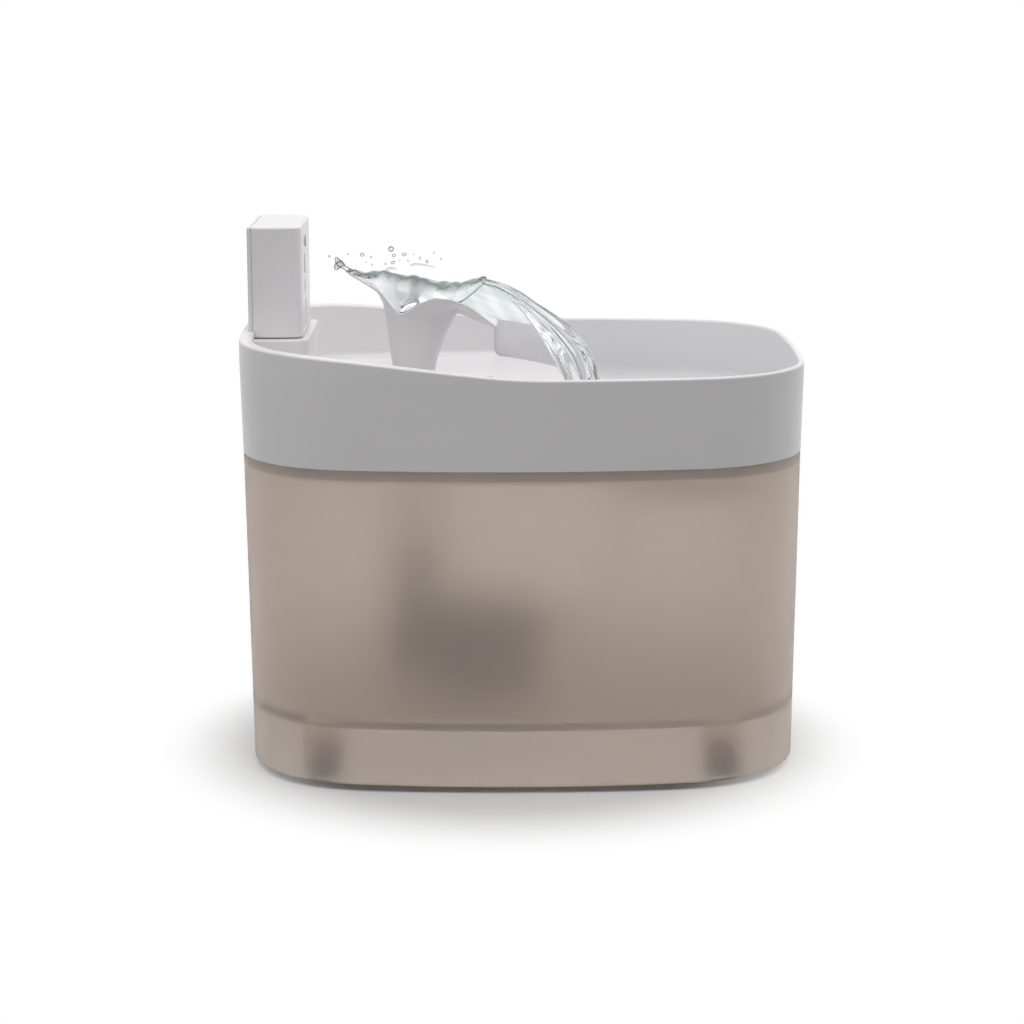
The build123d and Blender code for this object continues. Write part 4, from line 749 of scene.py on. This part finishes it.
# ======================================================================= camera
def build_camera():
    """The camera, at the photograph's viewing angle."""
    camera = bpy.data.objects.new("camera", bpy.data.cameras.new("camera"))
    bpy.context.scene.collection.objects.link(camera)
    camera.data.sensor_width = SENSOR_MM
    camera.data.lens = FOCAL_PX * SENSOR_MM / IMAGE
    camera.matrix_world = (Matrix.Translation(CAMERA_PLACE)
                           @ Matrix.Rotation(CAMERA_YAW, 4, "Z")
                           @ Matrix.Rotation(math.pi / 2 - CAMERA_PITCH, 4, "X")
                           @ Matrix.Rotation(CAMERA_ROLL, 4, "Z"))
    bpy.context.scene.camera = camera


build_camera()


# ======================================================================= studio
def area_light(name, place, size, power, aim):
    """A square soft light that points at aim."""
    lamp = bpy.data.lights.new(name, "AREA")
    lamp.size = size
    lamp.energy = power
    light = bpy.data.objects.new(name, lamp)
    light.location = place
    light.rotation_euler = (Vector(aim) - Vector(place)).to_track_quat("-Z", "Y").to_euler()
    bpy.context.scene.collection.objects.link(light)


def seen_ray(tree):
    """1 for rays from the camera and through glass or off gloss, 0 for rays that carry light."""
    path = tree.nodes.new("ShaderNodeLightPath")
    clear = number_math(tree, "MAXIMUM", path.outputs["Is Camera Ray"], path.outputs["Is Transmission Ray"])
    return number_math(tree, "MAXIMUM", clear, path.outputs["Is Glossy Ray"])


def camera_ray(tree):
    """1 for rays straight from the camera."""
    return tree.nodes.new("ShaderNodeLightPath").outputs["Is Camera Ray"]


def build_world():
    """A plain white world that lights the object at WORLD_LEVEL."""
    world = bpy.data.worlds.new("studio")
    bpy.context.scene.world = world
    world.use_nodes = True
    tree = world.node_tree
    background = tree.nodes["Background"]
    background.inputs["Color"].default_value = (1.0, 1.0, 1.0, 1.0)
    tree.links.new(spread(tree, seen_ray(tree), WORLD_LEVEL, 1.0), background.inputs["Strength"])


def floor_paper():
    """The floor's material. Light meets a grey floor; the camera, glass and gloss see one that is darker
    near the object, a painted shadow in which the lamps' real shadow also shows, and that fades to plain
    white away from the object."""
    material, tree, shader = new_material("floor_paper")
    place = place_on_object(tree)
    centred = vector_math(tree, "SUBTRACT", place, FLOOR_MIDDLE)
    distance = vector_math(tree, "LENGTH", vector_math(tree, "DIVIDE", centred, FLOOR_REACH))
    fade = spread(tree, distance, 0.0, 1.0, FLOOR_FADE, "SMOOTHSTEP")
    # Painted shadow in the gap under the tank, for the camera alone
    shares = vector_math(tree, "DIVIDE", place, FOOTPRINT)
    squares = vector_math(tree, "MULTIPLY", shares, shares)
    fourths = vector_math(tree, "MULTIPLY", squares, squares)
    outline = vector_math(tree, "DOT_PRODUCT", fourths, (1.0, 1.0, 0.0))
    painted_shadow_depth = spread(tree, camera_ray(tree), 1.0, UNDER_PAINTED_SHADOW)
    under = spread(tree, outline, painted_shadow_depth, 1.0, UNDER_PAINTED_SHADOW_EDGE, "SMOOTHSTEP")
    # Painted shadow: grey paper near the object, none of it far away
    paper = ramp(tree, fade, (FLOOR_SEEN,) * 3, (0.0, 0.0, 0.0), (0.0, 1.0))
    near = vector_math(tree, "SCALE", paper, under)
    seen = seen_ray(tree)
    surface = mixed(tree, seen, (FLOOR_LIT, FLOOR_LIT, FLOOR_LIT, 1.0), near)
    tree.links.new(surface, shader.inputs["Base Color"])
    # Away from the object the paper's own colour gives way to a plain white glow
    least = spread(tree, camera_ray(tree), FLOOR_THROUGH, FLOOR_GLOW)
    glow = number_math(tree, "MAXIMUM", fade, least)
    tree.links.new(number_math(tree, "MULTIPLY", glow, seen), shader.inputs["Emission Strength"])
    shader.inputs["Emission Color"].default_value = (1.0, 1.0, 1.0, 1.0)
    shader.inputs["Roughness"].default_value = FLOOR_ROUGHNESS
    shader.inputs["Specular IOR Level"].default_value = 0.0
    return material


def build_floor():
    """A plain pale floor, large enough that its edge is never seen."""
    bpy.ops.mesh.primitive_plane_add(size=FLOOR_SIZE, location=(0, 0, 0))
    floor = bpy.context.object
    floor.name = "floor"
    floor.data.materials.append(floor_paper())


for name, lamp in LAMPS.items():
    area_light(name, **lamp)
build_world()
build_floor()
bpy.context.scene.view_settings.view_transform = "Standard"
